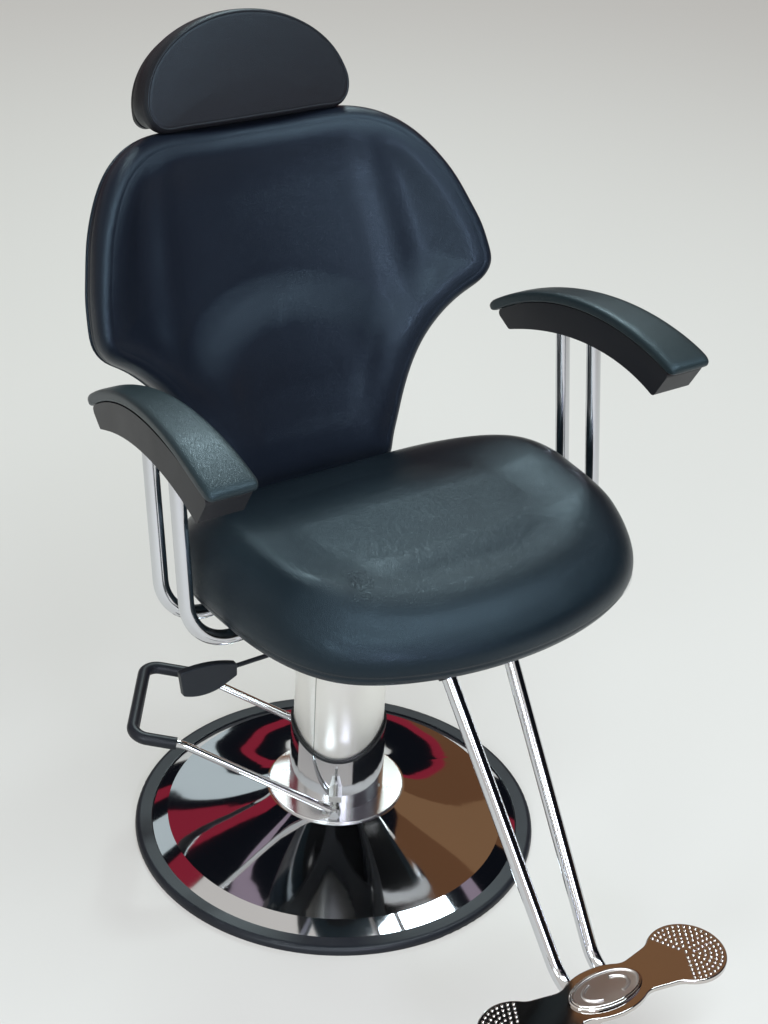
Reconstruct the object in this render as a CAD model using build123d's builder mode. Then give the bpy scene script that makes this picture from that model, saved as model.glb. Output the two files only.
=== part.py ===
from build123d import *
import os
from math import asin, atan2, cos, radians, sin, sqrt, tan

# Reclining hydraulic salon chair.  Millimetres, +Z up, front of the chair towards -Y,
# origin on the floor at the centre of the round base.
os.makedirs("parts", exist_ok=True)

# ---------------------------------------------------------------- driving dimensions
# round base
RING_OUTER_RADIUS = 285.0
RING_WIDTH = 23.0
RING_HEIGHT = 12.0
RING_SHELF = 6.0
RING_SHELF_HEIGHT = 4.0
DOME_SHEET = 2.5
DOME_BAND_WIDTH = 23.0
DOME_BAND_BASE = 10.0
DOME_BAND_TOP = 23.0
DOME_CROWN_RADIUS = 98.0
DOME_CROWN_HEIGHT = 66.0
DOME_FLARE = 5.0
FLANGE_RADIUS = 95.5
FLANGE_THICKNESS = 3.0

# hydraulic column
SLEEVE_RADIUS = 63.0
SLEEVE_WALL = 2.5
SLEEVE_BOTTOM = 112.0
SLEEVE_TOP = 420.0
CUP_WALL = 2.9
CUP_GAP = 0.6
CUP_RIM_LOW = 148.0
CUP_SCOOP_RADIUS = 91.0
WIPER_HEIGHT = 4.0
RUNNING_FIT = 0.05
HOUSING_WALL = 4.0
HOUSING_FLOOR_HEIGHT = 8.0
HOUSING_FLOOR = 6.0
HOUSING_FLANGE_RADIUS = 88.0
FLANGE_BOLT_INSET = 12.0
PUMP_CYLINDER_RADIUS = 45.0
PUMP_CYLINDER_WALL = 7.0
PUMP_CYLINDER_TOP = 200.0
PUMP_GLAND = 30.0
PISTON_ROD_RADIUS = 18.0
PISTON_LENGTH = 20.0
PISTON_BOTTOM = 114.0
SPIGOT_RADIUS = 16.0
SPIGOT_LENGTH = 26.0
CAP_THICKNESS = 6.0

# foot pump pedal, which points away from the chair's front at its own angle
PEDAL_BEARING = 145.8
PEDAL_PIVOT_HEIGHT = 78.5
PEDAL_LEG_OFFSET = 84.0
PEDAL_ROD_RADIUS = 5.5
PEDAL_REACH = 279.0
PEDAL_KNEE_REACH = 208.0
PEDAL_KNEE_HEIGHT = 183.0
PEDAL_TOE_HEIGHT = 194.0
PEDAL_KNEE_RADIUS = 36.0
PEDAL_TOE_RADIUS = 22.0
PEDAL_EYE_RADIUS = 8.5
PEDAL_BOSS_RADIUS = 7.0
PEDAL_EYE_WIDTH = 8.0
PEDAL_PIN_RADIUS = 4.0
GRIP_RADIUS = 8.75
GRIP_START = 10.0
PLUNGER_RADIUS = 2.5
PLUNGER_TOP = 128.0
GUIDE_HEIGHT = 100.0
GUIDE_SIZE = 18.0
GUIDE_THICKNESS = 9.0

# tubes of the arms and the footrest
TUBE_RADIUS = 9.5

# frame under the seat
FRAME_BOTTOM = 459.0
FRAME_DEPTH = 30.0
RAIL_SPACING = 160.0
RAIL_THICKNESS = 8.0
RAIL_FRONT = -264.0
RAIL_REAR = 126.0
MOUNT_PLATE_THICKNESS = 6.0
MOUNT_PLATE_LENGTH = 146.0
MOUNT_PLATE_CENTRE = -7.0
HUB_RADIUS = 38.0
HUB_FLANGE_RADIUS = 60.0
HUB_FLANGE_THICKNESS = 8.0
HUB_BOLT_RADIUS = 48.0
BOLT_RADIUS = 4.0
BOLT_HEAD_RADIUS = 7.0
BOLT_HEAD_HEIGHT = 5.5
REST_GAP = 0.3

# seat
BOARD_THICKNESS = 10.0
BOARD_INSET = 44.0
TAB_SIZE = 20.0
TAB_THICKNESS = 3.0
TAB_REAR_Y = 10.0
TAB_FRONT_Y = -200.0
SCREW_RADIUS = 2.2
SCREW_HEAD_RADIUS = 4.5
SCREW_HEAD_HEIGHT = 3.0
SCREW_BITE = 8.0
SEAT_WIDTH = 551.0
SEAT_FRONT = -384.0
SEAT_REAR = 77.0
SEAT_MIDDLE = -140.0
SEAT_THICKNESS = 102.0
SEAT_BELLY_HEIGHT = 30.0
SEAT_TUCK = 11.0
SEAT_SHOULDER = 9.0
SEAT_ROLL = 44.0
SEAT_FRONT_FALL = 26.0
SEAT_REAR_FALL = 50.0
SEAT_DISH_DEPTH = 14.0
SEAT_DISH_RADIUS = 205.0

# arms
ARM_TUBE_OFFSET = 308.0
ARM_LEAN = 8.0
ARM_REAR_TUBE = -68.0
ARM_FRONT_TUBE = -132.0
ARM_TUBE_RISE = 17.0
ARM_BEND_RADIUS = 58.0
ARM_REAR_TUBE_LENGTH = 259.0
ARM_FRONT_TUBE_LENGTH = 271.0
ARM_INNER = 292.0
ARM_FRONT_WIDTH = 65.0
ARM_MIDDLE_WIDTH = 58.0
ARM_TIP_WIDTH = 26.0
ARM_LIP = 3.5
ARM_PAD_THICKNESS = 16.0
ARM_BODY_DEPTH = 41.0
ARM_ARC_RADIUS = 407.0
ARM_ARC_CENTRE_Y = -130.0
ARM_ARC_DROP = 80.0
ARM_PAD_REAR_ANGLE = 36.5
ARM_PAD_FRONT_ANGLE = -19.4
ARM_CORNER = 9.0

# backrest
HINGE_Y = 112.0
HINGE_RISE = 15.0
RECLINE = 21.5
BACK_FOOT_Y = 76.6
BACK_FOOT_RISE = 6.0
BACK_CURVE_RADIUS = 545.0
BACK_PAD_THICKNESS = 38.0
BACK_SHELL_THICKNESS = 12.0
BACK_SHELL_INSET = 3.0
BACK_WIDTH = 586.0
BACK_BOTTOM = 32.0
BACK_TOP = 518.0
BACK_WAIST = 264.0
BACK_WING_HEIGHT = 266.0
BACK_WING_RADIUS = 22.0
BACK_EDGE_RADIUS = 16.0
BACK_SILL_RADIUS = 24.0
BRACKET_THICKNESS = 6.0
BRACKET_BOSS_RADIUS = 16.0
BRACKET_FLANGE_WIDTH = 24.0
BRACKET_FLANGE_THICKNESS = 4.0
BRACKET_TOP = 170.0
BRACKET_FOOT_RISE = 8.0
BRACKET_HEEL_RISE = 28.0
BRACKET_WEB_DEPTH = 22.0
HINGE_PIN_RADIUS = 5.0
HINGE_HEAD_RADIUS = 9.0
HINGE_NUT_HEIGHT = 6.0

# gas spring that locks the backrest
SPRING_ARM = 55.0
SPRING_MID_ANGLE = 18.5
SPRING_PIN_RADIUS = 4.0
SPRING_PIN_FREEDOM = 3.4
SPRING_RADIUS = 13.0
SPRING_ROD_RADIUS = 5.0
SPRING_REAR = 52.0
SPRING_FRONT = -140.0
SPRING_ROD_FRONT = -60.0
SPRING_TANG_LENGTH = 30.0
SPRING_TANG_THICKNESS = 8.0
CHEEK_THICKNESS = 4.0
CHEEK_GAP = 0.4
CLEVIS_HALF_HEIGHT = 9.0
CLEVIS_THROAT = 20.0
CLEVIS_LENGTH = 30.0
LUG_RADIUS = 13.0
LUG_WIDTH = 22.0

# headrest
HEADREST_WIDTH = 302.0
HEADREST_GAP = 1.5
HEADREST_STRAIGHT = 22.0
HEADREST_ARCH_HEIGHT = 111.0
HEADREST_THICKNESS = 54.0
HEADREST_FORWARD = 19.0
HEADREST_BOARD = 10.0
HEADREST_CORNER = 20.0
HEADREST_EDGE = 16.0
POST_SPACING = 120.0
POST_RADIUS = 5.0
POST_DEPTH = -19.0
POST_BELOW = 112.0
POST_ABOVE = 65.0
GUIDE_RADIUS = 8.0
GUIDE_BELOW = 14.0
BEZEL_RADIUS = 12.0
BEZEL_HEIGHT = 3.0

# recline lever
LEVER_Y = -100.0
LEVER_DROP = 55.0
LEVER_PIVOT_X = -80.0
LEVER_ROD_RADIUS = 3.0
LEVER_HUB_RADIUS = 8.0
LEVER_HUB_WIDTH = 10.4
LEVER_PIN_RADIUS = 3.0
PADDLE_INNER = -226.0
PADDLE_OUTER = -306.0
PADDLE_THICKNESS = 10.0
PADDLE_HEIGHT = 42.0
PADDLE_GRIP = 16.0
LEVER_CHEEK = 3.0
LEVER_CHEEK_WIDTH = 24.0

# footrest
FOOT_TUBE_TOP_X = 47.8
FOOT_TUBE_TOP_Y = -280.2
FOOT_TUBE_RISE = 11.0
FOOT_TUBE_LOW_X = 26.7
FOOT_TUBE_LOW_Y = -538.0
FOOT_TUBE_LOW_Z = 136.0
FOOT_TUBE_END_Y = -600.0
FOOT_TUBE_BEND = 56.0
SOCKET_RADIUS = 13.0
SOCKET_LENGTH = 32.0
SOCKET_CAP = 14.0
PLATE_THICKNESS = 6.0
PLATE_CENTRE_Y = -587.0
LOBE_RADIUS = 50.0
LOBE_OFFSET = 128.0
PLATE_OVAL_LENGTH = 124.0
PLATE_OVAL_WIDTH = 78.0
PLATE_WEB_WIDTH = 50.0
PLATE_WEB_FLARE = 17.0
PLATE_BLEND = 26.0
BOSS_OVAL_LENGTH = 104.0
BOSS_OVAL_WIDTH = 56.0
BOSS_OVAL_HEIGHT = 4.0
PLATE_LUG_RADIUS = 13.0
PLATE_LUG_END = 7.0
PLATE_LUG_SLACK = 3.0

# ---------------------------------------------------------------- derived sizes
ring_inner_radius = RING_OUTER_RADIUS - RING_WIDTH
dome_crease_radius = ring_inner_radius - DOME_BAND_WIDTH
sleeve_bore = SLEEVE_RADIUS - SLEEVE_WALL
cup_bore = SLEEVE_RADIUS + CUP_GAP
cup_radius = cup_bore + CUP_WALL
crown_underside = DOME_CROWN_HEIGHT - DOME_SHEET
cup_base = DOME_CROWN_HEIGHT + FLANGE_THICKNESS
scoop_centre = CUP_RIM_LOW + CUP_SCOOP_RADIUS
housing_radius = cup_bore + CUP_GAP + HOUSING_WALL
housing_floor_top = HOUSING_FLOOR_HEIGHT + HOUSING_FLOOR
flange_bolt_circle = HOUSING_FLANGE_RADIUS - FLANGE_BOLT_INSET
pump_bore = PUMP_CYLINDER_RADIUS - PUMP_CYLINDER_WALL

pedal_out = Vector(cos(radians(PEDAL_BEARING)), sin(radians(PEDAL_BEARING)), 0)
pedal_axis = Vector(-pedal_out.Y, pedal_out.X, 0)
pedal_side = Plane(origin=(0, 0, 0), x_dir=pedal_out, z_dir=pedal_axis)

frame_top = FRAME_BOTTOM + FRAME_DEPTH
rail_middle = RAIL_SPACING / 2
rail_outer = rail_middle + RAIL_THICKNESS / 2
rail_inner = rail_middle - RAIL_THICKNESS / 2
mount_plate_bottom = FRAME_BOTTOM - MOUNT_PLATE_THICKNESS
hub_bottom = SLEEVE_TOP + REST_GAP
hub_flange_bottom = mount_plate_bottom - HUB_FLANGE_THICKNESS
cushion_bottom = frame_top + BOARD_THICKNESS
arm_tube_height = FRAME_BOTTOM + ARM_TUBE_RISE
arm_arc_z = FRAME_BOTTOM - ARM_ARC_DROP
foot_tube_top_z = FRAME_BOTTOM + FOOT_TUBE_RISE
lever_z = FRAME_BOTTOM - LEVER_DROP
hinge_z = FRAME_BOTTOM + HINGE_RISE
back_foot_z = hinge_z + BACK_FOOT_RISE
cushion_top = cushion_bottom + SEAT_THICKNESS

headrest_bottom = BACK_TOP + BEZEL_HEIGHT + HEADREST_GAP
headrest_arch_base = headrest_bottom + HEADREST_STRAIGHT
post_bottom = BACK_TOP - POST_BELOW
post_top = headrest_bottom + POST_ABOVE
guide_bottom = post_bottom - GUIDE_BELOW

bracket_inner = rail_outer + REST_GAP
bracket_outer = bracket_inner + BRACKET_THICKNESS
bracket_foot = BACK_BOTTOM + BRACKET_FOOT_RISE
back_up = Vector(0, sin(radians(RECLINE)), cos(radians(RECLINE)))
back_front = Vector(0, -cos(radians(RECLINE)), sin(radians(RECLINE)))
back_origin = Vector(0, BACK_FOOT_Y, back_foot_z)
back_face = Plane(origin=back_origin, x_dir=(1, 0, 0), z_dir=back_front)
back_section = Plane(origin=back_origin, x_dir=(1, 0, 0), z_dir=back_up)
back_pad_rear = BACK_CURVE_RADIUS + BACK_PAD_THICKNESS
back_shell_rear = back_pad_rear + BACK_SHELL_THICKNESS

spring_angle = radians(SPRING_MID_ANGLE)
spring_pin_y = HINGE_Y + SPRING_ARM * sin(spring_angle)
spring_pin_z = hinge_z - SPRING_ARM * cos(spring_angle)
spring_x = (bracket_inner + bracket_outer) / 2

side_signs = {"left": 1, "right": -1}


def bolt(plane, length, head_height=BOLT_HEAD_HEIGHT, radius=BOLT_RADIUS, head=BOLT_HEAD_RADIUS):
    """Hexagon bolt: the head's seat lies on the plane and the shank runs along its normal."""
    with BuildSketch(plane) as shank:
        Circle(radius)
    extrude(shank.sketch, amount=length)
    with BuildSketch(plane) as hexagon:
        RegularPolygon(head, 6)
    extrude(hexagon.sketch, amount=-head_height)


# ---------------------------------------------------------------- round base
# Rubber ring with a rounded shoulder and a shelf under the edge of the dome.
with BuildPart() as base_rim_ring:
    with BuildSketch(Plane.XZ):
        with Locations((ring_inner_radius, 0)):
            Rectangle(RING_WIDTH, RING_HEIGHT, align=(Align.MIN, Align.MIN))
            Rectangle(RING_SHELF * 2, RING_SHELF_HEIGHT, align=(Align.CENTER, Align.MIN))
    revolve(axis=Axis.Z)
    fillet(base_rim_ring.edges().group_by(Axis.Z)[-1].sort_by(SortBy.RADIUS)[-1], RING_HEIGHT * 0.6)
    fillet(base_rim_ring.edges().group_by(Axis.Z)[0].sort_by(SortBy.RADIUS)[-1], 2)
base_rim_ring.part.label = "base_rim_ring"
export_step(base_rim_ring.part, "parts/base_rim_ring.step")

# Pressed dome: a sloped rim band, a crease and a flared cone up to a flat crown.
with BuildPart() as base_dome:
    with BuildSketch(Plane.XZ):
        with BuildLine():
            hem = Line((ring_inner_radius, RING_SHELF_HEIGHT), (ring_inner_radius, DOME_BAND_BASE))
            band = Line(hem @ 1, (dome_crease_radius, DOME_BAND_TOP))
            middle = ((band @ 1) + Vector(DOME_CROWN_RADIUS, DOME_CROWN_HEIGHT)) / 2
            flare = ThreePointArc(
                band @ 1,
                middle - Vector(0, DOME_FLARE),
                (DOME_CROWN_RADIUS, DOME_CROWN_HEIGHT),
            )
            crown = Line(flare @ 1, (cup_bore, DOME_CROWN_HEIGHT))
            lip = Line(crown @ 1, (cup_bore, crown_underside))
            under = Line(lip @ 1, (DOME_CROWN_RADIUS - 1, crown_underside))
            under_flare = ThreePointArc(
                under @ 1,
                middle - Vector(1, DOME_FLARE + DOME_SHEET),
                (dome_crease_radius - 1, DOME_BAND_TOP - DOME_SHEET),
            )
            under_band = Line(under_flare @ 1, (ring_inner_radius - DOME_SHEET, DOME_BAND_BASE - 1.5))
            under_hem = Line(under_band @ 1, (ring_inner_radius - DOME_SHEET, RING_SHELF_HEIGHT))
            Line(under_hem @ 1, hem @ 0)
        make_face()
    revolve(axis=Axis.Z)
    with PolarLocations(flange_bolt_circle, 4, start_angle=45):
        Hole(BOLT_RADIUS)
base_dome.part.label = "base_dome"
export_step(base_dome.part, "parts/base_dome.step")

# Flat flange disc on the crown, with a rounded outer edge.
with BuildPart() as column_flange:
    with BuildSketch(Plane.XY.offset(DOME_CROWN_HEIGHT)):
        Circle(FLANGE_RADIUS)
        Circle(cup_bore, mode=Mode.SUBTRACT)
    extrude(amount=FLANGE_THICKNESS)
    fillet(column_flange.edges().group_by(Axis.Z)[-1].sort_by(SortBy.RADIUS)[-1], 1.2)
    with PolarLocations(flange_bolt_circle, 4, start_angle=45):
        Hole(BOLT_RADIUS)
column_flange.part.label = "column_flange"
export_step(column_flange.part, "parts/column_flange.step")

# Pump housing that hangs under the crown and closes the column at the bottom.
with BuildPart() as pump_housing:
    with BuildSketch(Plane.XZ):
        with BuildLine():
            Polyline(
                (0, HOUSING_FLOOR_HEIGHT),
                (housing_radius, HOUSING_FLOOR_HEIGHT),
                (housing_radius, crown_underside - HOUSING_FLOOR),
                (HOUSING_FLANGE_RADIUS, crown_underside - HOUSING_FLOOR),
                (HOUSING_FLANGE_RADIUS, crown_underside),
                (housing_radius - HOUSING_WALL, crown_underside),
                (housing_radius - HOUSING_WALL, housing_floor_top),
                (0, housing_floor_top),
                close=True,
            )
        make_face()
    revolve(axis=Axis.Z)
    with PolarLocations(flange_bolt_circle, 4, start_angle=45):
        Hole(BOLT_RADIUS)
pump_housing.part.label = "pump_housing"
export_step(pump_housing.part, "parts/pump_housing.step")

with BuildPart() as flange_bolts:
    for location in PolarLocations(flange_bolt_circle, 4, start_angle=45).locations:
        seat_plane = Plane(location).offset(crown_underside - HOUSING_FLOOR)
        bolt(seat_plane, cup_base - 0.5 - (crown_underside - HOUSING_FLOOR))
flange_bolts.part.label = "flange_bolts"
export_step(flange_bolts.part, "parts/flange_bolts.step")

# ---------------------------------------------------------------- column cup and pump
# Chrome cup whose rim is scooped low on the two sides that face across the pedal.
scoop_plane = Plane(origin=(0, 0, scoop_centre), x_dir=pedal_out, z_dir=pedal_axis)
with BuildPart() as column_cup:
    with BuildSketch(Plane.XY.offset(cup_base)):
        Circle(cup_radius)
        Circle(cup_bore, mode=Mode.SUBTRACT)
    extrude(amount=scoop_centre - CUP_SCOOP_RADIUS * 0.6 - cup_base)
    with BuildSketch(scoop_plane):
        Circle(CUP_SCOOP_RADIUS)
    extrude(amount=cup_radius * 2, both=True, mode=Mode.SUBTRACT)
column_cup.part.label = "column_cup"
export_step(column_cup.part, "parts/column_cup.step")

# Black wiper that caps the scooped rim and runs on the sleeve.
with BuildPart() as cup_wiper:
    with BuildSketch(Plane.XY.offset(CUP_RIM_LOW - 2)):
        Circle(cup_radius + 0.4)
        Circle(SLEEVE_RADIUS + RUNNING_FIT, mode=Mode.SUBTRACT)
    extrude(amount=CUP_SCOOP_RADIUS)
    with BuildSketch(scoop_plane):
        Circle(CUP_SCOOP_RADIUS)
    extrude(amount=cup_radius * 2, both=True, mode=Mode.INTERSECT)
    with BuildSketch(scoop_plane):
        Circle(CUP_SCOOP_RADIUS - WIPER_HEIGHT)
    extrude(amount=cup_radius * 2, both=True, mode=Mode.SUBTRACT)
cup_wiper.part.label = "cup_wiper"
export_step(cup_wiper.part, "parts/cup_wiper.step")

with BuildPart() as pump_cylinder:
    with BuildSketch(Plane.XZ):
        with BuildLine():
            Polyline(
                (PISTON_ROD_RADIUS + RUNNING_FIT, PUMP_CYLINDER_TOP),
                (PISTON_ROD_RADIUS + RUNNING_FIT, PUMP_CYLINDER_TOP - PUMP_GLAND),
                (pump_bore, PUMP_CYLINDER_TOP - PUMP_GLAND),
                (pump_bore, housing_floor_top),
                (PUMP_CYLINDER_RADIUS, housing_floor_top),
                (PUMP_CYLINDER_RADIUS, PUMP_CYLINDER_TOP),
                close=True,
            )
        make_face()
    revolve(axis=Axis.Z)
pump_cylinder.part.label = "pump_cylinder"
export_step(pump_cylinder.part, "parts/pump_cylinder.step")

# ---------------------------------------------------------------- lift
with BuildPart() as lift_sleeve:
    with BuildSketch(Plane.XY.offset(SLEEVE_BOTTOM)):
        Circle(SLEEVE_RADIUS)
        Circle(sleeve_bore, mode=Mode.SUBTRACT)
    extrude(amount=SLEEVE_TOP - SLEEVE_BOTTOM)
lift_sleeve.part.label = "lift_sleeve"
export_step(lift_sleeve.part, "parts/lift_sleeve.step")

with BuildPart() as sleeve_cap:
    with BuildSketch(Plane.XY.offset(SLEEVE_TOP - CAP_THICKNESS)):
        Circle(sleeve_bore)
        Circle(PISTON_ROD_RADIUS, mode=Mode.SUBTRACT)
    extrude(amount=CAP_THICKNESS)
sleeve_cap.part.label = "sleeve_cap"
export_step(sleeve_cap.part, "parts/sleeve_cap.step")

# Piston rod with its piston at the foot and the swivel spigot at the head.
with BuildPart() as piston_rod:
    with BuildSketch(Plane.XZ):
        with BuildLine():
            Polyline(
                (0, PISTON_BOTTOM),
                (pump_bore - RUNNING_FIT, PISTON_BOTTOM),
                (pump_bore - RUNNING_FIT, PISTON_BOTTOM + PISTON_LENGTH),
                (PISTON_ROD_RADIUS, PISTON_BOTTOM + PISTON_LENGTH),
                (PISTON_ROD_RADIUS, SLEEVE_TOP),
                (SPIGOT_RADIUS, SLEEVE_TOP),
                (SPIGOT_RADIUS, SLEEVE_TOP + SPIGOT_LENGTH - 2),
                (SPIGOT_RADIUS - 2, SLEEVE_TOP + SPIGOT_LENGTH),
                (0, SLEEVE_TOP + SPIGOT_LENGTH),
                close=True,
            )
        make_face()
    revolve(axis=Axis.Z)
piston_rod.part.label = "piston_rod"
export_step(piston_rod.part, "parts/piston_rod.step")

# ---------------------------------------------------------------- pedal
# Two bosses on the cup carry the pedal, each with a shoulder pin through the pedal's eye.
eye_inner = PEDAL_LEG_OFFSET - PEDAL_EYE_WIDTH / 2
eye_outer = PEDAL_LEG_OFFSET + PEDAL_EYE_WIDTH / 2
pivot_point = Vector(0, 0, PEDAL_PIVOT_HEIGHT)
boss_root = sqrt(cup_radius**2 - PEDAL_BOSS_RADIUS**2)
with BuildPart() as pedal_pivots:
    for side in (1, -1):
        boss_plane = Plane(
            origin=pivot_point + pedal_axis * (side * boss_root),
            x_dir=pedal_out,
            z_dir=pedal_axis * side,
        )
        boss_length = eye_inner - REST_GAP - boss_root
        with BuildSketch(boss_plane):
            Circle(PEDAL_BOSS_RADIUS)
        extrude(amount=boss_length)
        with BuildSketch(boss_plane.offset(boss_length)):
            Circle(PEDAL_PIN_RADIUS)
        extrude(amount=PEDAL_EYE_WIDTH + 2 * REST_GAP)
        with BuildSketch(boss_plane.offset(boss_length + PEDAL_EYE_WIDTH + 2 * REST_GAP)):
            RegularPolygon(BOLT_HEAD_RADIUS, 6)
        extrude(amount=BOLT_HEAD_HEIGHT)
    with BuildSketch(Plane.XY.offset(cup_base)):
        Circle(cup_radius)
    extrude(amount=PEDAL_PIVOT_HEIGHT, mode=Mode.SUBTRACT)
pedal_pivots.part.label = "pedal_pivots"
export_step(pedal_pivots.part, "parts/pedal_pivots.step")


def pedal_point(reach, side, height):
    """Point of the pedal: how far out, which side as a fraction of the leg offset, how high."""
    return pedal_out * reach + pedal_axis * (PEDAL_LEG_OFFSET * side) + Vector(0, 0, height)


leg_slope = atan2(PEDAL_KNEE_HEIGHT - PEDAL_PIVOT_HEIGHT, PEDAL_KNEE_REACH)
with BuildPart() as pedal_bar:
    with BuildLine() as pedal_path:
        leg_start = PEDAL_EYE_RADIUS - 1
        FilletPolyline(
            pedal_point(leg_start * cos(leg_slope), 1, PEDAL_PIVOT_HEIGHT + leg_start * sin(leg_slope)),
            pedal_point(PEDAL_KNEE_REACH, 1, PEDAL_KNEE_HEIGHT),
            pedal_point(PEDAL_REACH, 1, PEDAL_TOE_HEIGHT),
            pedal_point(PEDAL_REACH, -1, PEDAL_TOE_HEIGHT),
            pedal_point(PEDAL_KNEE_REACH, -1, PEDAL_KNEE_HEIGHT),
            pedal_point(leg_start * cos(leg_slope), -1, PEDAL_PIVOT_HEIGHT + leg_start * sin(leg_slope)),
            radius=[PEDAL_KNEE_RADIUS, PEDAL_TOE_RADIUS, PEDAL_TOE_RADIUS, PEDAL_KNEE_RADIUS],
        )
    with BuildSketch(Plane(origin=pedal_path.line @ 0, z_dir=pedal_path.line % 0)):
        Circle(PEDAL_ROD_RADIUS)
    sweep(path=pedal_path.line)
    for side in (1, -1):
        with BuildSketch(Plane(
            origin=pivot_point + pedal_axis * (side * eye_inner),
            x_dir=pedal_out,
            z_dir=pedal_axis * side,
        )):
            Circle(PEDAL_EYE_RADIUS)
        extrude(amount=PEDAL_EYE_WIDTH)
    with BuildSketch(Plane(origin=pivot_point, x_dir=pedal_out, z_dir=pedal_axis)):
        Circle(PEDAL_PIN_RADIUS + RUNNING_FIT)
    extrude(amount=eye_outer + 1, both=True, mode=Mode.SUBTRACT)
pedal_bar.part.label = "pedal_bar"
export_step(pedal_bar.part, "parts/pedal_bar.step")

# Rubber grip pushed over the outer end of the bar.
with BuildPart() as pedal_grip:
    grip_reach = PEDAL_KNEE_REACH + GRIP_START
    toe_slope = (PEDAL_TOE_HEIGHT - PEDAL_KNEE_HEIGHT) / (PEDAL_REACH - PEDAL_KNEE_REACH)
    grip_height = PEDAL_KNEE_HEIGHT + GRIP_START * toe_slope
    with BuildLine() as grip_path:
        FilletPolyline(
            pedal_point(grip_reach, 1, grip_height),
            pedal_point(PEDAL_REACH, 1, PEDAL_TOE_HEIGHT),
            pedal_point(PEDAL_REACH, -1, PEDAL_TOE_HEIGHT),
            pedal_point(grip_reach, -1, grip_height),
            radius=PEDAL_TOE_RADIUS,
        )
    with BuildSketch(Plane(origin=grip_path.line @ 0, z_dir=grip_path.line % 0)):
        Circle(GRIP_RADIUS)
        Circle(PEDAL_ROD_RADIUS, mode=Mode.SUBTRACT)
    sweep(path=grip_path.line)
pedal_grip.part.label = "pedal_grip"
export_step(pedal_grip.part, "parts/pedal_grip.step")

# Pump plunger over the pedal's eye, in a guide block on the face of the cup.
plunger_point = pedal_axis * PEDAL_LEG_OFFSET
plunger_foot = PEDAL_PIVOT_HEIGHT + PEDAL_EYE_RADIUS + REST_GAP
with BuildPart() as plunger_guide:
    with BuildSketch(Plane(origin=(0, 0, GUIDE_HEIGHT), x_dir=pedal_out, z_dir=(0, 0, 1))):
        with Locations((0, PEDAL_LEG_OFFSET - 8)):
            Rectangle(GUIDE_SIZE, GUIDE_SIZE + 10)
        with Locations((0, PEDAL_LEG_OFFSET)):
            Circle(PLUNGER_RADIUS + RUNNING_FIT, mode=Mode.SUBTRACT)
    extrude(amount=GUIDE_THICKNESS)
    with BuildSketch(Plane.XY.offset(GUIDE_HEIGHT)):
        Circle(cup_radius)
    extrude(amount=GUIDE_THICKNESS, mode=Mode.SUBTRACT)
plunger_guide.part.label = "plunger_guide"
export_step(plunger_guide.part, "parts/plunger_guide.step")

with BuildPart() as pump_plunger:
    with BuildSketch(Plane(origin=plunger_point + Vector(0, 0, plunger_foot), z_dir=(0, 0, 1))):
        Circle(PLUNGER_RADIUS + 1.5)
    extrude(amount=4)
    with BuildSketch(Plane(origin=plunger_point + Vector(0, 0, plunger_foot), z_dir=(0, 0, 1))):
        Circle(PLUNGER_RADIUS)
    extrude(amount=PLUNGER_TOP - plunger_foot)
pump_plunger.part.label = "pump_plunger"
export_step(pump_plunger.part, "parts/pump_plunger.step")

# ---------------------------------------------------------------- frame under the seat
with BuildPart() as swivel_hub:
    with BuildSketch(Plane.XY.offset(hub_bottom)):
        Circle(HUB_RADIUS)
    extrude(amount=hub_flange_bottom - hub_bottom)
    with BuildSketch(Plane.XY.offset(hub_flange_bottom)):
        Circle(HUB_FLANGE_RADIUS)
    extrude(amount=HUB_FLANGE_THICKNESS)
    with BuildSketch(Plane.XY.offset(hub_bottom)):
        Circle(SPIGOT_RADIUS + RUNNING_FIT)
    extrude(amount=SPIGOT_LENGTH, mode=Mode.SUBTRACT)
    with Locations((0, 0, mount_plate_bottom)), PolarLocations(HUB_BOLT_RADIUS, 4, start_angle=45):
        Hole(BOLT_RADIUS)
swivel_hub.part.label = "swivel_hub"
export_step(swivel_hub.part, "parts/swivel_hub.step")

with BuildPart() as mount_plate:
    with BuildSketch(Plane.XY.offset(mount_plate_bottom)):
        with Locations((0, MOUNT_PLATE_CENTRE)):
            RectangleRounded(2 * rail_outer, MOUNT_PLATE_LENGTH, 6)
    extrude(amount=MOUNT_PLATE_THICKNESS)
    with Locations((0, 0, FRAME_BOTTOM)), PolarLocations(HUB_BOLT_RADIUS, 4, start_angle=45):
        Hole(BOLT_RADIUS)
mount_plate.part.label = "mount_plate"
export_step(mount_plate.part, "parts/mount_plate.step")

# Bolts through the hub's flange and the plate, each with its nut on top.
with BuildPart() as hub_bolts:
    for location in PolarLocations(HUB_BOLT_RADIUS, 4, start_angle=45).locations:
        bolt(Plane(location).offset(hub_flange_bottom), FRAME_BOTTOM + 8 - hub_flange_bottom)
        with BuildSketch(Plane(location).offset(FRAME_BOTTOM)) as nut:
            RegularPolygon(BOLT_HEAD_RADIUS, 6)
        extrude(nut.sketch, amount=BOLT_HEAD_HEIGHT)
hub_bolts.part.label = "hub_bolts"
export_step(hub_bolts.part, "parts/hub_bolts.step")


def hoop_plane(tube_y):
    """Leaning plane of an arm hoop: X across the chair, Y up the tubes."""
    lean = radians(ARM_LEAN)
    return Plane(
        origin=(0, tube_y, arm_tube_height), x_dir=(1, 0, 0), z_dir=(0, -cos(lean), sin(lean))
    )


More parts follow.
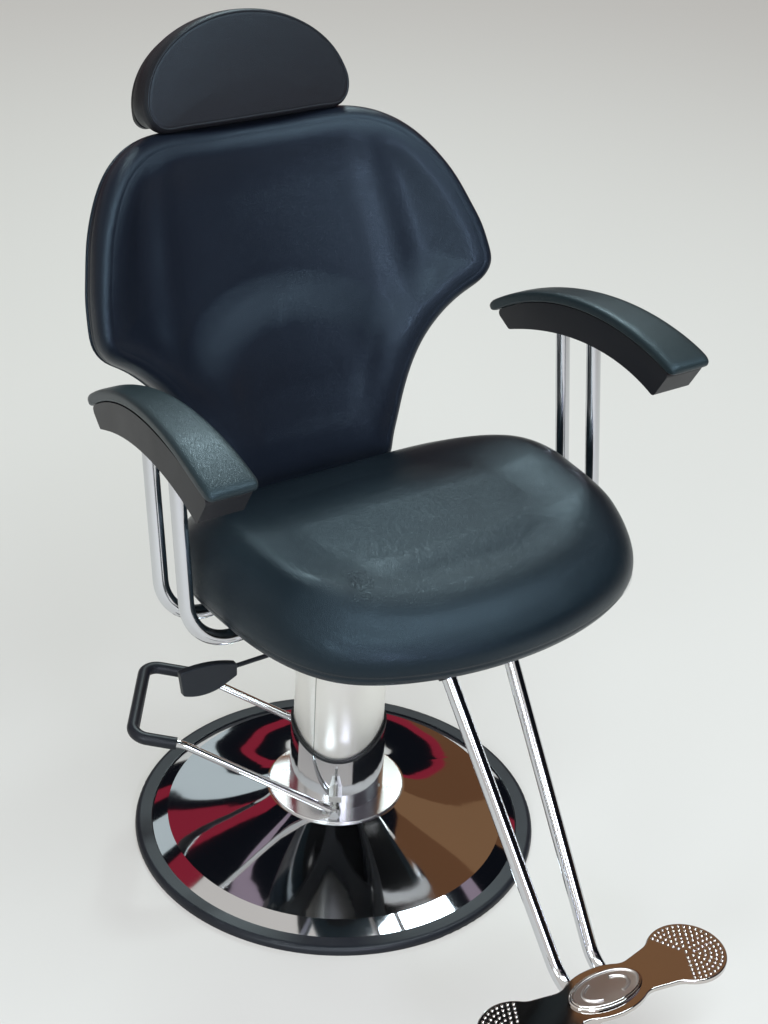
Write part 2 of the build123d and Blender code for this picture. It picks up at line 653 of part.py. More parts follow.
rail_span = RAIL_REAR - RAIL_FRONT
for side, sign in side_signs.items():
    with BuildPart() as frame_rail:
        with BuildSketch(Plane.XY.offset(FRAME_BOTTOM)):
            with Locations((sign * rail_middle, (RAIL_FRONT + RAIL_REAR) / 2)):
                Rectangle(RAIL_THICKNESS, rail_span)
        extrude(amount=FRAME_DEPTH)
        fillet(
            frame_rail.edges().filter_by(Axis.X).group_by(Axis.Y)[-1], FRAME_DEPTH * 0.45
        )
        for tube_y in (ARM_REAR_TUBE, ARM_FRONT_TUBE):
            with BuildSketch(Plane(origin=(sign * rail_middle, tube_y, arm_tube_height), z_dir=(1, 0, 0))):
                Circle(TUBE_RADIUS)
            extrude(amount=RAIL_THICKNESS, both=True, mode=Mode.SUBTRACT)
        with BuildSketch(Plane(origin=(sign * rail_middle, HINGE_Y, hinge_z), z_dir=(1, 0, 0))):
            Circle(HINGE_PIN_RADIUS)
        extrude(amount=RAIL_THICKNESS, both=True, mode=Mode.SUBTRACT)
    frame_rail.part.label = f"frame_rail_{side}"
    export_step(frame_rail.part, f"parts/frame_rail_{side}.step")

# Cross bars between the rails: the front one carries the footrest sockets.
cross_rear_y = HINGE_Y - BRACKET_BOSS_RADIUS - RAIL_THICKNESS
for name, bar_y in (("front", RAIL_FRONT), ("rear", cross_rear_y - RAIL_THICKNESS)):
    with BuildPart() as frame_cross:
        with BuildSketch(Plane.XY.offset(FRAME_BOTTOM)):
            with Locations((0, bar_y + RAIL_THICKNESS / 2)):
                Rectangle(2 * rail_inner, RAIL_THICKNESS)
        extrude(amount=FRAME_DEPTH)
    frame_cross.part.label = f"frame_cross_{name}"
    export_step(frame_cross.part, f"parts/frame_cross_{name}.step")

# ---------------------------------------------------------------- seat
seat_half = SEAT_WIDTH / 2


def seat_outline(inset):
    """Closed curve round the seat: full rear corners, round sides and a long round front."""
    half = seat_half - inset
    front = SEAT_FRONT + inset
    rear = SEAT_REAR - inset
    length = rear - front
    with BuildLine() as outline:
        Spline(
            (0, front),
            (half * 0.50, front + length * 0.047),
            (half * 0.80, front + length * 0.150),
            (half * 0.96, front + length * 0.350),
            (half, front + length * 0.570),
            (half * 0.95, front + length * 0.785),
            (half * 0.66, rear - length * 0.045),
            (0, rear),
            tangents=((1, 0), (-1, 0)),
        )
        mirror(about=Plane.YZ)
    return make_face(outline.line, mode=Mode.PRIVATE)


# Four angle tabs on the rails hold the board, with one screw up through each.
tab_places = [
    (sign * (rail_outer + TAB_SIZE / 2), tab_y)
    for sign in (1, -1)
    for tab_y in (TAB_REAR_Y, TAB_FRONT_Y)
]
with BuildPart() as board_tabs:
    with BuildSketch(Plane.XY.offset(frame_top - TAB_THICKNESS)):
        with Locations(*tab_places):
            Rectangle(TAB_SIZE, TAB_SIZE)
            Circle(SCREW_RADIUS, mode=Mode.SUBTRACT)
    extrude(amount=TAB_THICKNESS)
    with BuildSketch(Plane.XY.offset(frame_top - TAB_SIZE)):
        for tab_y in (TAB_REAR_Y, TAB_FRONT_Y):
            with Locations(*[(sign * (rail_outer + TAB_THICKNESS / 2), tab_y) for sign in (1, -1)]):
                Rectangle(TAB_THICKNESS, TAB_SIZE)
    extrude(amount=TAB_SIZE)
board_tabs.part.label = "board_tabs"
export_step(board_tabs.part, "parts/board_tabs.step")

with BuildPart() as board_screws:
    with BuildSketch(Plane.XY.offset(frame_top - TAB_THICKNESS - SCREW_HEAD_HEIGHT)):
        with Locations(*tab_places):
            Circle(SCREW_HEAD_RADIUS)
    extrude(amount=SCREW_HEAD_HEIGHT)
    with BuildSketch(Plane.XY.offset(frame_top - TAB_THICKNESS)):
        with Locations(*tab_places):
            Circle(SCREW_RADIUS)
    extrude(amount=TAB_THICKNESS + SCREW_BITE)
board_screws.part.label = "board_screws"
export_step(board_screws.part, "parts/board_screws.step")

with BuildPart() as seat_board:
    with BuildSketch(Plane.XY.offset(frame_top)):
        add(seat_outline(BOARD_INSET))
    extrude(amount=BOARD_THICKNESS)
    with BuildSketch(Plane.XY.offset(frame_top)):
        with Locations(*tab_places):
            Circle(SCREW_RADIUS)
    extrude(amount=SCREW_BITE, mode=Mode.SUBTRACT)
seat_board.part.label = "seat_board"
export_step(seat_board.part, "parts/seat_board.step")

# Thick cushion: tucked in at the bottom, fullest low down, with a rolled top edge. Its top
# falls away to the front lip and to the back.
with BuildPart() as seat_cushion:
    for height, inset in (
        (0, SEAT_TUCK),
        (SEAT_BELLY_HEIGHT, 0),
        (SEAT_THICKNESS * 0.72, SEAT_SHOULDER),
        (SEAT_THICKNESS, SEAT_ROLL),
    ):
        with BuildSketch(Plane.XY.offset(cushion_bottom + height)):
            add(seat_outline(inset))
    loft()
    with BuildSketch(Plane.YZ):
        with BuildLine():
            top_line = Spline(
                (SEAT_FRONT - SEAT_ROLL, cushion_top - SEAT_FRONT_FALL * 1.8),
                (SEAT_FRONT + SEAT_ROLL, cushion_top - SEAT_FRONT_FALL),
                (SEAT_MIDDLE - seat_half / 3, cushion_top),
                (SEAT_MIDDLE + seat_half / 4, cushion_top),
                (SEAT_REAR, cushion_top - SEAT_REAR_FALL),
            )
            Polyline(top_line @ 1, (SEAT_REAR, 0), (SEAT_FRONT - SEAT_ROLL, 0), top_line @ 0)
        make_face()
    extrude(amount=SEAT_WIDTH, both=True, mode=Mode.INTERSECT)
    dish_sphere = (SEAT_DISH_RADIUS**2 + SEAT_DISH_DEPTH**2) / (2 * SEAT_DISH_DEPTH)
    with Locations((0, SEAT_MIDDLE, cushion_top - SEAT_DISH_DEPTH + dish_sphere)):
        Sphere(dish_sphere, mode=Mode.SUBTRACT)
seat_cushion.part.label = "seat_cushion"
export_step(seat_cushion.part, "parts/seat_cushion.step")

# ---------------------------------------------------------------- arms
# Each hoop is one tube: up one side, under the seat through the rails and up the other side.
hoops = {
    "rear": (ARM_REAR_TUBE, ARM_REAR_TUBE_LENGTH / cos(radians(ARM_LEAN))),
    "front": (ARM_FRONT_TUBE, ARM_FRONT_TUBE_LENGTH / cos(radians(ARM_LEAN))),
}
for name, (tube_y, rise) in hoops.items():
    with BuildPart() as arm_hoop:
        with BuildLine(hoop_plane(tube_y)) as hoop_path:
            FilletPolyline(
                (ARM_TUBE_OFFSET, rise),
                (ARM_TUBE_OFFSET, 0),
                (-ARM_TUBE_OFFSET, 0),
                (-ARM_TUBE_OFFSET, rise),
                radius=ARM_BEND_RADIUS,
            )
        with BuildSketch(Plane(origin=hoop_path.line @ 0, z_dir=hoop_path.line % 0)):
            Circle(TUBE_RADIUS)
        sweep(path=hoop_path.line)
    arm_hoop.part.label = f"arm_hoop_{name}"
    export_step(arm_hoop.part, f"parts/arm_hoop_{name}.step")


def on_arm_arc(angle, inset=0.0):
    """Point (y, z) on the arch of the arm's top, by its angle from the vertical."""
    reach = ARM_ARC_RADIUS - inset
    return (ARM_ARC_CENTRE_Y + reach * sin(radians(angle)), arm_arc_z + reach * cos(radians(angle)))


def arm_side_plane(x):
    """Side view plane of an arm: its X is +Y, its Y is +Z and it faces +X."""
    return Plane(origin=(x, 0, 0), x_dir=(0, 1, 0), z_dir=(1, 0, 0))


def arm_plan(sign, inset):
    """View of an arm from above: straight along the seat, drawn in behind to a narrow tip."""
    inner = ARM_INNER + inset
    tip_y = on_arm_arc(ARM_PAD_REAR_ANGLE)[0] + ARM_CORNER
    front_y = on_arm_arc(ARM_PAD_FRONT_ANGLE)[0] - ARM_CORNER
    with BuildSketch() as plan:
        with BuildLine():
            flank = Spline(
                (sign * (ARM_INNER + ARM_FRONT_WIDTH - inset), front_y),
                (sign * (ARM_INNER + ARM_MIDDLE_WIDTH - inset), ARM_ARC_CENTRE_Y),
                (sign * (ARM_INNER + ARM_TIP_WIDTH - inset), tip_y),
                tangents=((0, 1), (sign * -0.12, 1)),
            )
            Polyline(flank @ 1, (sign * inner, tip_y), (sign * inner, front_y), flank @ 0)
        make_face()
    return plan.sketch


arm_near = ARM_INNER - ARM_CORNER
arm_span = ARM_FRONT_WIDTH + 2 * ARM_CORNER
body_inset = ARM_PAD_THICKNESS + ARM_BODY_DEPTH
for side, sign in side_signs.items():
    near_plane = arm_side_plane(min(sign * arm_near, sign * (arm_near + arm_span)))
    with BuildPart() as arm_body:
        with BuildSketch(near_plane):
            with BuildLine():
                top = ThreePointArc(
                    on_arm_arc(ARM_PAD_REAR_ANGLE - 1.5, ARM_PAD_THICKNESS),
                    on_arm_arc(0, ARM_PAD_THICKNESS),
                    on_arm_arc(ARM_PAD_FRONT_ANGLE + 1, ARM_PAD_THICKNESS),
                )
                nose = Line(top @ 1, on_arm_arc(ARM_PAD_FRONT_ANGLE + 2.5, body_inset + 4))
                under = Spline(
                    nose @ 1,
                    on_arm_arc(ARM_PAD_FRONT_ANGLE / 2, body_inset + 1),
                    on_arm_arc(0, body_inset),
                    on_arm_arc(ARM_PAD_REAR_ANGLE * 0.62, body_inset - 4),
                    on_arm_arc(ARM_PAD_REAR_ANGLE - 4, body_inset - 11),
                )
                Line(under @ 1, top @ 0)
            make_face()
        extrude(amount=arm_span)
        extrude(arm_plan(sign, ARM_LIP), amount=2 * ARM_ARC_RADIUS, mode=Mode.INTERSECT)
        fillet(arm_body.edges().filter_by(Axis.X), ARM_CORNER * 0.7)
        for tube_y, rise in hoops.values():
            with BuildSketch(Plane(
                origin=hoop_plane(tube_y).from_local_coords((sign * ARM_TUBE_OFFSET, 0, 0)),
                z_dir=hoop_plane(tube_y).y_dir,
            )):
                Circle(TUBE_RADIUS)
            extrude(amount=rise, mode=Mode.SUBTRACT)
    arm_body.part.label = f"arm_body_{side}"
    export_step(arm_body.part, f"parts/arm_body_{side}.step")

    with BuildPart() as arm_pad:
        with BuildSketch(near_plane):
            with BuildLine():
                crown = ThreePointArc(
                    on_arm_arc(ARM_PAD_REAR_ANGLE), on_arm_arc(0), on_arm_arc(ARM_PAD_FRONT_ANGLE)
                )
                front_end = Line(crown @ 1, on_arm_arc(ARM_PAD_FRONT_ANGLE, ARM_PAD_THICKNESS))
                base = ThreePointArc(
                    front_end @ 1,
                    on_arm_arc(0, ARM_PAD_THICKNESS),
                    on_arm_arc(ARM_PAD_REAR_ANGLE, ARM_PAD_THICKNESS),
                )
                Line(base @ 1, crown @ 0)
            make_face()
        extrude(amount=arm_span)
        extrude(arm_plan(sign, 0), amount=2 * ARM_ARC_RADIUS, mode=Mode.INTERSECT)
        ends = arm_pad.faces().filter_by(GeomType.PLANE).filter_by(lambda f: abs(f.normal_at().X) < 0.1)
        corner_edges = ends.edges().filter_by(lambda e: abs((e % 0).X) < 0.1)
        fillet(corner_edges, ARM_CORNER)
        fillet(arm_pad.faces().sort_by(Axis.Z)[-1].edges(), ARM_PAD_THICKNESS * 0.35)
    arm_pad.part.label = f"arm_pad_{side}"
    export_step(arm_pad.part, f"parts/arm_pad_{side}.step")

# ---------------------------------------------------------------- backrest
def back_outline(inset=0.0):
    """Front view of the back: narrow waist, wing tips at elbow height, round shoulders."""
    half = BACK_WIDTH / 2 - inset
    waist_half = BACK_WAIST / 2 - inset
    flare = half - waist_half
    below_wing = BACK_WING_HEIGHT - BACK_BOTTOM
    above_wing = BACK_TOP - BACK_WING_HEIGHT
    with BuildLine() as outline:
        sill = Line((0, BACK_BOTTOM + inset), (waist_half, BACK_BOTTOM + inset))
        waist = Spline(
            sill @ 1,
            (waist_half + flare * 0.137, BACK_BOTTOM + below_wing * 0.35),
            (waist_half + flare * 0.385, BACK_BOTTOM + below_wing * 0.667 + inset),
            (half, BACK_WING_HEIGHT + inset),
            tangents=((0, 1), (0.85, 0.5)),
        )
        shoulder = Spline(
            waist @ 1,
            (half - BACK_WIDTH * 0.02, BACK_WING_HEIGHT + above_wing * 0.38),
            (half - BACK_WIDTH * 0.075, BACK_WING_HEIGHT + above_wing * 0.69),
            (BACK_WIDTH * 0.22, BACK_TOP - inset),
            tangents=((0, 1), (-1, 0.02)),
        )
        Line(shoulder @ 1, (0, BACK_TOP - inset))
        mirror(about=Plane.YZ)
    return make_face(outline.line, mode=Mode.PRIVATE)


def wing_corners(sketch):
    """The two corners of the outline where a wing's lower and upper edges meet."""
    return sketch.vertices().filter_by(lambda v: abs(v.X) > BACK_WIDTH * 0.48)


def sill_corners(sketch):
    """The two corners at the bottom of the waist."""
    return sketch.vertices().filter_by(lambda v: v.Y < BACK_BOTTOM + 4 and abs(v.X) > BACK_WAIST / 4)


def curved_slab(inner_radius, outer_radius):
    """Section of the curved back between two arcs about the same centre in front of it."""
    with BuildSketch(back_section.offset(-BACK_WAIST / 2)) as slab:
        with Locations((0, -BACK_CURVE_RADIUS)):
            Circle(outer_radius)
            Circle(inner_radius, mode=Mode.SUBTRACT)
    return slab.sketch


def back_point(x, height, forward):
    """Point of the back: across the chair, up along the back and forward of its face."""
    return back_origin + Vector(x, 0, 0) + back_up * height + back_front * forward


post_places = (-POST_SPACING / 2, POST_SPACING / 2)


def post_plane(x, height):
    """Plane across a headrest post at a height measured up the back."""
    return Plane(origin=back_point(x, height, POST_DEPTH), x_dir=(1, 0, 0), z_dir=back_up)


# Upholstered front pad of the back, wrapped forward at both sides.
slab_length = BACK_TOP + BACK_WAIST
with BuildPart() as back_pad:
    with BuildSketch(back_face) as pad_outline:
        add(back_outline())
        fillet(wing_corners(pad_outline), BACK_WING_RADIUS)
        fillet(sill_corners(pad_outline), BACK_SILL_RADIUS)
    extrude(amount=BACK_WAIST / 2, both=True)
    extrude(curved_slab(BACK_CURVE_RADIUS, back_pad_rear), amount=slab_length, mode=Mode.INTERSECT)
    pad_faces = back_pad.faces().filter_by(GeomType.CYLINDER).sort_by(SortBy.AREA)[-2:]
    fillet(pad_faces.sort_by(Axis.Y)[0].edges(), BACK_EDGE_RADIUS)
    for x in post_places:
        with BuildSketch(post_plane(x, guide_bottom)):
            Circle(GUIDE_RADIUS)
        extrude(amount=BACK_TOP - guide_bottom + 1, mode=Mode.SUBTRACT)
back_pad.part.label = "back_pad"
export_step(back_pad.part, "parts/back_pad.step")

# Padded rear shell behind it, slightly smaller all round.
with BuildPart() as back_shell:
    with BuildSketch(back_face) as shell_outline:
        add(back_outline(BACK_SHELL_INSET))
        fillet(wing_corners(shell_outline), BACK_WING_RADIUS - BACK_SHELL_INSET)
        fillet(sill_corners(shell_outline), BACK_SILL_RADIUS - BACK_SHELL_INSET)
    extrude(amount=BACK_WAIST / 2, both=True)
    extrude(curved_slab(back_pad_rear, back_shell_rear), amount=slab_length, mode=Mode.INTERSECT)
    shell_faces = back_shell.faces().filter_by(GeomType.CYLINDER).sort_by(SortBy.AREA)[-2:]
    fillet(shell_faces.sort_by(Axis.Y)[-1].edges(), BACK_SHELL_THICKNESS * 0.5)
back_shell.part.label = "back_shell"
export_step(back_shell.part, "parts/back_shell.step")

# Angle brackets from the shell down to the hinge; the +X one also carries the lug
# with the free hole in which the gas spring's pin works.
bracket_side = Plane(origin=(0, HINGE_Y, hinge_z), x_dir=(0, 1, 0), z_dir=(1, 0, 0))
web_rear = BACK_PAD_THICKNESS + BACK_SHELL_THICKNESS + BRACKET_WEB_DEPTH
lug_point = (spring_pin_y - HINGE_Y, spring_pin_z - hinge_z)


def from_hinge(height, forward):
    """Side view coordinates, measured from the hinge, of a point on the back's middle."""
    point = back_point(0, height, forward)
    return (point.Y - HINGE_Y, point.Z - hinge_z)


for side, sign in side_signs.items():
    inner_x = min(sign * bracket_inner, sign * bracket_outer)
    with BuildPart() as back_bracket:
        with BuildSketch(bracket_side.offset(inner_x)):
            Circle(BRACKET_BOSS_RADIUS)
            with BuildLine():
                Polyline(
                    from_hinge(bracket_foot, -BACK_PAD_THICKNESS + BRACKET_FOOT_RISE),
                    from_hinge(BRACKET_TOP, -BACK_PAD_THICKNESS + BRACKET_FOOT_RISE),
                    from_hinge(BRACKET_TOP, -web_rear + BRACKET_WEB_DEPTH * 0.6),
                    from_hinge(BACK_BOTTOM + BRACKET_HEEL_RISE, -web_rear),
                    (BRACKET_BOSS_RADIUS * 0.97, -BRACKET_BOSS_RADIUS * 0.24),
                    (-BRACKET_BOSS_RADIUS * 0.86, BRACKET_BOSS_RADIUS * 0.5),
                    close=True,
                )
            make_face()
            if sign > 0:
                with Locations(Location((lug_point[0] / 2, lug_point[1] / 2), SPRING_MID_ANGLE - 90)):
                    Rectangle(SPRING_ARM, LUG_WIDTH)
                with Locations(lug_point):
                    Circle(LUG_RADIUS)
                    Circle(SPRING_PIN_RADIUS + SPRING_PIN_FREEDOM, mode=Mode.SUBTRACT)
            Circle(HINGE_PIN_RADIUS + RUNNING_FIT, mode=Mode.SUBTRACT)
        extrude(amount=BRACKET_THICKNESS)
        with BuildSketch(back_section.offset(BACK_BOTTOM - REST_GAP)):
            with Locations((0, -BACK_CURVE_RADIUS)):
                Circle(back_shell_rear)
        extrude(amount=BRACKET_TOP, mode=Mode.SUBTRACT)
        with BuildSketch(back_section.offset(bracket_foot)) as strap:
            with Locations((0, -BACK_CURVE_RADIUS)):
                Circle(back_shell_rear + BRACKET_FLANGE_THICKNESS)
                Circle(back_shell_rear, mode=Mode.SUBTRACT)
            with Locations((sign * (bracket_outer - BRACKET_FLANGE_WIDTH / 2), BACK_SHELL_THICKNESS * 4)):
                Rectangle(BRACKET_FLANGE_WIDTH, BRACKET_FLANGE_WIDTH * 2, mode=Mode.INTERSECT)
        extrude(amount=BRACKET_TOP - bracket_foot)
    back_bracket.part.label = f"back_bracket_{side}"
    export_step(back_bracket.part, f"parts/back_bracket_{side}.step")

# Pan-head screws through each bracket's strap into the shell.
strap_x = bracket_inner - (BRACKET_FLANGE_WIDTH - BRACKET_THICKNESS) / 2
strap_angle = asin(strap_x / back_shell_rear)
strap_rear = back_shell_rear + BRACKET_FLANGE_THICKNESS
with BuildPart() as bracket_screws:
    for sign in side_signs.values():
        for height in (BRACKET_TOP * 0.45, BRACKET_TOP * 0.65, BRACKET_TOP * 0.85):
            outward = back_front * -cos(strap_angle) + Vector(sign * sin(strap_angle), 0, 0)
            seat_point = back_point(0, height, BACK_CURVE_RADIUS) + outward * strap_rear
            with BuildSketch(Plane(origin=seat_point, z_dir=outward)):
                Circle(SCREW_HEAD_RADIUS)
            extrude(amount=SCREW_HEAD_HEIGHT)
bracket_screws.part.label = "bracket_screws"
export_step(bracket_screws.part, "parts/bracket_screws.step")

# Hinge bolts through rail and bracket: the shank ends in a nut inside the rail.
with BuildPart() as hinge_bolts:
    for sign in (1, -1):
        head_plane = Plane(
            origin=(sign * (bracket_outer + REST_GAP), HINGE_Y, hinge_z), z_dir=(-sign, 0, 0)
        )
        shank = bracket_outer + REST_GAP - rail_inner + HINGE_NUT_HEIGHT + 1
        bolt(head_plane, shank, radius=HINGE_PIN_RADIUS, head=HINGE_HEAD_RADIUS)
        with BuildSketch(Plane(origin=(sign * rail_inner, HINGE_Y, hinge_z), z_dir=(-sign, 0, 0))) as nut:
            RegularPolygon(HINGE_HEAD_RADIUS, 6)
        extrude(nut.sketch, amount=HINGE_NUT_HEIGHT)
hinge_bolts.part.label = "hinge_bolts"
export_step(hinge_bolts.part, "parts/hinge_bolts.step")

# ---------------------------------------------------------------- gas spring
spring_axis_plane = Plane(origin=(spring_x, SPRING_FRONT, spring_pin_z), z_dir=(0, 1, 0))
tang_inner = spring_x - SPRING_TANG_THICKNESS / 2
tang_pin_y = SPRING_FRONT - SPRING_TANG_LENGTH + SPRING_TANG_THICKNESS
with BuildPart() as gas_cylinder:
    with BuildSketch(spring_axis_plane):
        Circle(SPRING_RADIUS)
    extrude(amount=SPRING_REAR - SPRING_FRONT)
    with BuildSketch(spring_axis_plane.offset(SPRING_TANG_THICKNESS)):
        Circle(SPRING_ROD_RADIUS + RUNNING_FIT)
    extrude(amount=SPRING_REAR - SPRING_FRONT, mode=Mode.SUBTRACT)
    with BuildSketch(Plane(origin=(tang_inner, 0, 0), x_dir=(0, 1, 0), z_dir=(1, 0, 0))):
        with Locations((SPRING_FRONT - SPRING_TANG_LENGTH / 2, spring_pin_z)):
            Rectangle(SPRING_TANG_LENGTH, 2 * SPRING_TANG_THICKNESS)
        with Locations((tang_pin_y, spring_pin_z)):
            Circle(SPRING_PIN_RADIUS, mode=Mode.SUBTRACT)
    extrude(amount=SPRING_TANG_THICKNESS)
gas_cylinder.part.label = "gas_cylinder"
export_step(gas_cylinder.part, "parts/gas_cylinder.step")

# Bracket under the rail that holds the cylinder's tang between two cheeks.
cheek_bottom = spring_pin_z - 2 * SPRING_PIN_RADIUS - 2
with BuildPart() as spring_bracket:
    cheek_offset = SPRING_TANG_THICKNESS / 2 + CHEEK_GAP + CHEEK_THICKNESS / 2
    with BuildSketch(Plane.XY.offset(cheek_bottom)):
        with Locations((spring_x - cheek_offset, tang_pin_y), (spring_x + cheek_offset, tang_pin_y)):
            Rectangle(CHEEK_THICKNESS, 2 * SPRING_TANG_THICKNESS)
    extrude(amount=FRAME_BOTTOM - cheek_bottom)
    with BuildSketch(Plane.XY.offset(FRAME_BOTTOM - CHEEK_THICKNESS)):
        with Locations((spring_x, tang_pin_y)):
            Rectangle(2 * cheek_offset + CHEEK_THICKNESS, 2 * SPRING_TANG_THICKNESS)
    extrude(amount=CHEEK_THICKNESS)
    with BuildSketch(Plane(origin=(spring_x, tang_pin_y, spring_pin_z), z_dir=(1, 0, 0))):
        Circle(SPRING_PIN_RADIUS)
    extrude(amount=2 * cheek_offset, both=True, mode=Mode.SUBTRACT)
spring_bracket.part.label = "spring_bracket"
export_step(spring_bracket.part, "parts/spring_bracket.step")

with BuildPart() as spring_pin:
    pin_half = cheek_offset + CHEEK_THICKNESS / 2 + 1
    with BuildSketch(Plane(origin=(spring_x, tang_pin_y, spring_pin_z), z_dir=(1, 0, 0))):
        Circle(SPRING_PIN_RADIUS)
    extrude(amount=pin_half, both=True)
spring_pin.part.label = "spring_pin"
export_step(spring_pin.part, "parts/spring_pin.step")

with BuildPart() as gas_rod:
    with BuildSketch(Plane(origin=(spring_x, SPRING_ROD_FRONT, spring_pin_z), z_dir=(0, 1, 0))):
        Circle(SPRING_ROD_RADIUS)
    extrude(amount=spring_pin_y - CLEVIS_LENGTH + 2 - SPRING_ROD_FRONT)
gas_rod.part.label = "gas_rod"
export_step(gas_rod.part, "parts/gas_rod.step")

# Fork on the rod's end, with the pin that runs free in the lug of the back's bracket.
clevis_half = BRACKET_THICKNESS / 2 + CHEEK_GAP
with BuildPart() as rod_clevis:
    with BuildSketch(Plane.XY.offset(spring_pin_z - CLEVIS_HALF_HEIGHT)):
        with Locations((spring_x, spring_pin_y - CLEVIS_LENGTH)):
            Rectangle(
                2 * (clevis_half + CHEEK_THICKNESS),
                CLEVIS_LENGTH + CLEVIS_HALF_HEIGHT,
                align=(Align.CENTER, Align.MIN),
            )
        with Locations((spring_x, spring_pin_y - CLEVIS_THROAT)):
            Rectangle(
                2 * clevis_half,
                CLEVIS_THROAT + 2 * CLEVIS_HALF_HEIGHT,
                align=(Align.CENTER, Align.MIN),
                mode=Mode.SUBTRACT,
            )
    extrude(amount=2 * CLEVIS_HALF_HEIGHT)
    with BuildSketch(Plane(origin=(spring_x, 0, spring_pin_z), z_dir=(0, 1, 0))):
        Circle(SPRING_ROD_RADIUS)
    extrude(amount=spring_pin_y - CLEVIS_LENGTH + 2, mode=Mode.SUBTRACT)
    with BuildSketch(Plane(origin=(spring_x, spring_pin_y, spring_pin_z), z_dir=(1, 0, 0))):
        Circle(SPRING_PIN_RADIUS)
    extrude(amount=clevis_half + CHEEK_THICKNESS + 1, both=True)
rod_clevis.part.label = "rod_clevis"
export_step(rod_clevis.part, "parts/rod_clevis.step")

# ---------------------------------------------------------------- headrest
def headrest_outline(inset=0.0):
    """Half-moon: a straight lower edge under an elliptical arch."""
    width = HEADREST_WIDTH - 2 * inset
    height = HEADREST_ARCH_HEIGHT - inset
    with BuildSketch() as moon:
        with Locations((0, headrest_arch_base)):
            Ellipse(width / 2, height)
            Rectangle(width, height, align=(Align.CENTER, Align.MIN), mode=Mode.INTERSECT)
            Rectangle(width, headrest_arch_base - headrest_bottom - inset, align=(Align.CENTER, Align.MAX))
    return moon.sketch


def lower_corners(sketch):
    """The two corners of the half-moon's straight edge."""
    return sketch.vertices().group_by(Axis.Y)[0]


def broad_faces(part):
    """The two largest faces of a slab, from front to rear."""
    return part.faces().sort_by(SortBy.AREA)[-2:].sort_by(Axis.Y)


headrest_rear = HEADREST_FORWARD - HEADREST_THICKNESS
with BuildPart() as headrest_pad:
    with BuildSketch(back_face.offset(headrest_rear + HEADREST_BOARD)) as moon:
        add(headrest_outline())
        fillet(lower_corners(moon), HEADREST_CORNER)
    extrude(amount=HEADREST_THICKNESS - HEADREST_BOARD)
    fillet(broad_faces(headrest_pad)[0].edges(), HEADREST_EDGE)
    for x in post_places:
        with BuildSketch(post_plane(x, headrest_bottom - 1)):
            Circle(POST_RADIUS)
        extrude(amount=post_top - headrest_bottom + 1, mode=Mode.SUBTRACT)
headrest_pad.part.label = "headrest_pad"
export_step(headrest_pad.part, "parts/headrest_pad.step")

with BuildPart() as headrest_board:
    with BuildSketch(back_face.offset(headrest_rear)) as moon:
        add(headrest_outline(BACK_SHELL_INSET))
        fillet(lower_corners(moon), HEADREST_CORNER - BACK_SHELL_INSET)
    extrude(amount=HEADREST_BOARD)
    fillet(broad_faces(headrest_board)[-1].edges(), HEADREST_BOARD * 0.4)
headrest_board.part.label = "headrest_board"
export_step(headrest_board.part, "parts/headrest_board.step")

with BuildPart() as headrest_posts:
    for x in post_places:
        with BuildSketch(post_plane(x, post_bottom)):
            Circle(POST_RADIUS)
        extrude(amount=post_top - post_bottom)
headrest_posts.part.label = "headrest_posts"
export_step(headrest_posts.part, "parts/headrest_posts.step")

# Guide tubes in the back's pad, closed at the bottom, under plastic bezels.
with BuildPart() as headrest_guides:
    for x in post_places:
        with BuildSketch(post_plane(x, guide_bottom)):
            Circle(GUIDE_RADIUS)
        extrude(amount=BACK_TOP - guide_bottom)
        with BuildSketch(post_plane(x, guide_bottom + 4)):
            Circle(POST_RADIUS + RUNNING_FIT)
        extrude(amount=BACK_TOP - guide_bottom, mode=Mode.SUBTRACT)
headrest_guides.part.label = "headrest_guides"
export_step(headrest_guides.part, "parts/headrest_guides.step")

with BuildPart() as guide_bezels:
    for x in post_places:
        with BuildSketch(post_plane(x, BACK_TOP)):
            Circle(BEZEL_RADIUS)
            Circle(POST_RADIUS + RUNNING_FIT, mode=Mode.SUBTRACT)
        extrude(amount=BEZEL_HEIGHT)
guide_bezels.part.label = "guide_bezels"
export_step(guide_bezels.part, "parts/guide_bezels.step")

# ---------------------------------------------------------------- recline lever
lever_side = Plane(origin=(0, LEVER_Y, 0), x_dir=(1, 0, 0), z_dir=(0, -1, 0))
lever_cheek_bottom = lever_z - LEVER_HUB_RADIUS
cheek_inner = LEVER_HUB_WIDTH / 2 + REST_GAP
with BuildPart() as lever_bracket:
    with BuildSketch(Plane.XY.offset(lever_cheek_bottom)):
        for cheek_y in (LEVER_Y - cheek_inner - LEVER_CHEEK / 2, LEVER_Y + cheek_inner + LEVER_CHEEK / 2):
            with Locations((LEVER_PIVOT_X, cheek_y)):
                Rectangle(LEVER_CHEEK_WIDTH, LEVER_CHEEK)
    extrude(amount=FRAME_BOTTOM - lever_cheek_bottom)
    with BuildSketch(Plane.XY.offset(FRAME_BOTTOM - LEVER_CHEEK)):
        with Locations((LEVER_PIVOT_X, LEVER_Y)):
            Rectangle(LEVER_CHEEK_WIDTH, 2 * (cheek_inner + LEVER_CHEEK))
    extrude(amount=LEVER_CHEEK)
    with BuildSketch(lever_side):
        with Locations((LEVER_PIVOT_X, lever_z)):
            Circle(LEVER_PIN_RADIUS)
    extrude(amount=LEVER_HUB_WIDTH * 2, both=True, mode=Mode.SUBTRACT)
lever_bracket.part.label = "lever_bracket"
export_step(lever_bracket.part, "parts/lever_bracket.step")

with BuildPart() as lever_pin:
    with BuildSketch(lever_side):
        with Locations((LEVER_PIVOT_X, lever_z)):
            Circle(LEVER_PIN_RADIUS)
    extrude(amount=cheek_inner + LEVER_CHEEK + 1.5, both=True)
lever_pin.part.label = "lever_pin"
export_step(lever_pin.part, "parts/lever_pin.step")

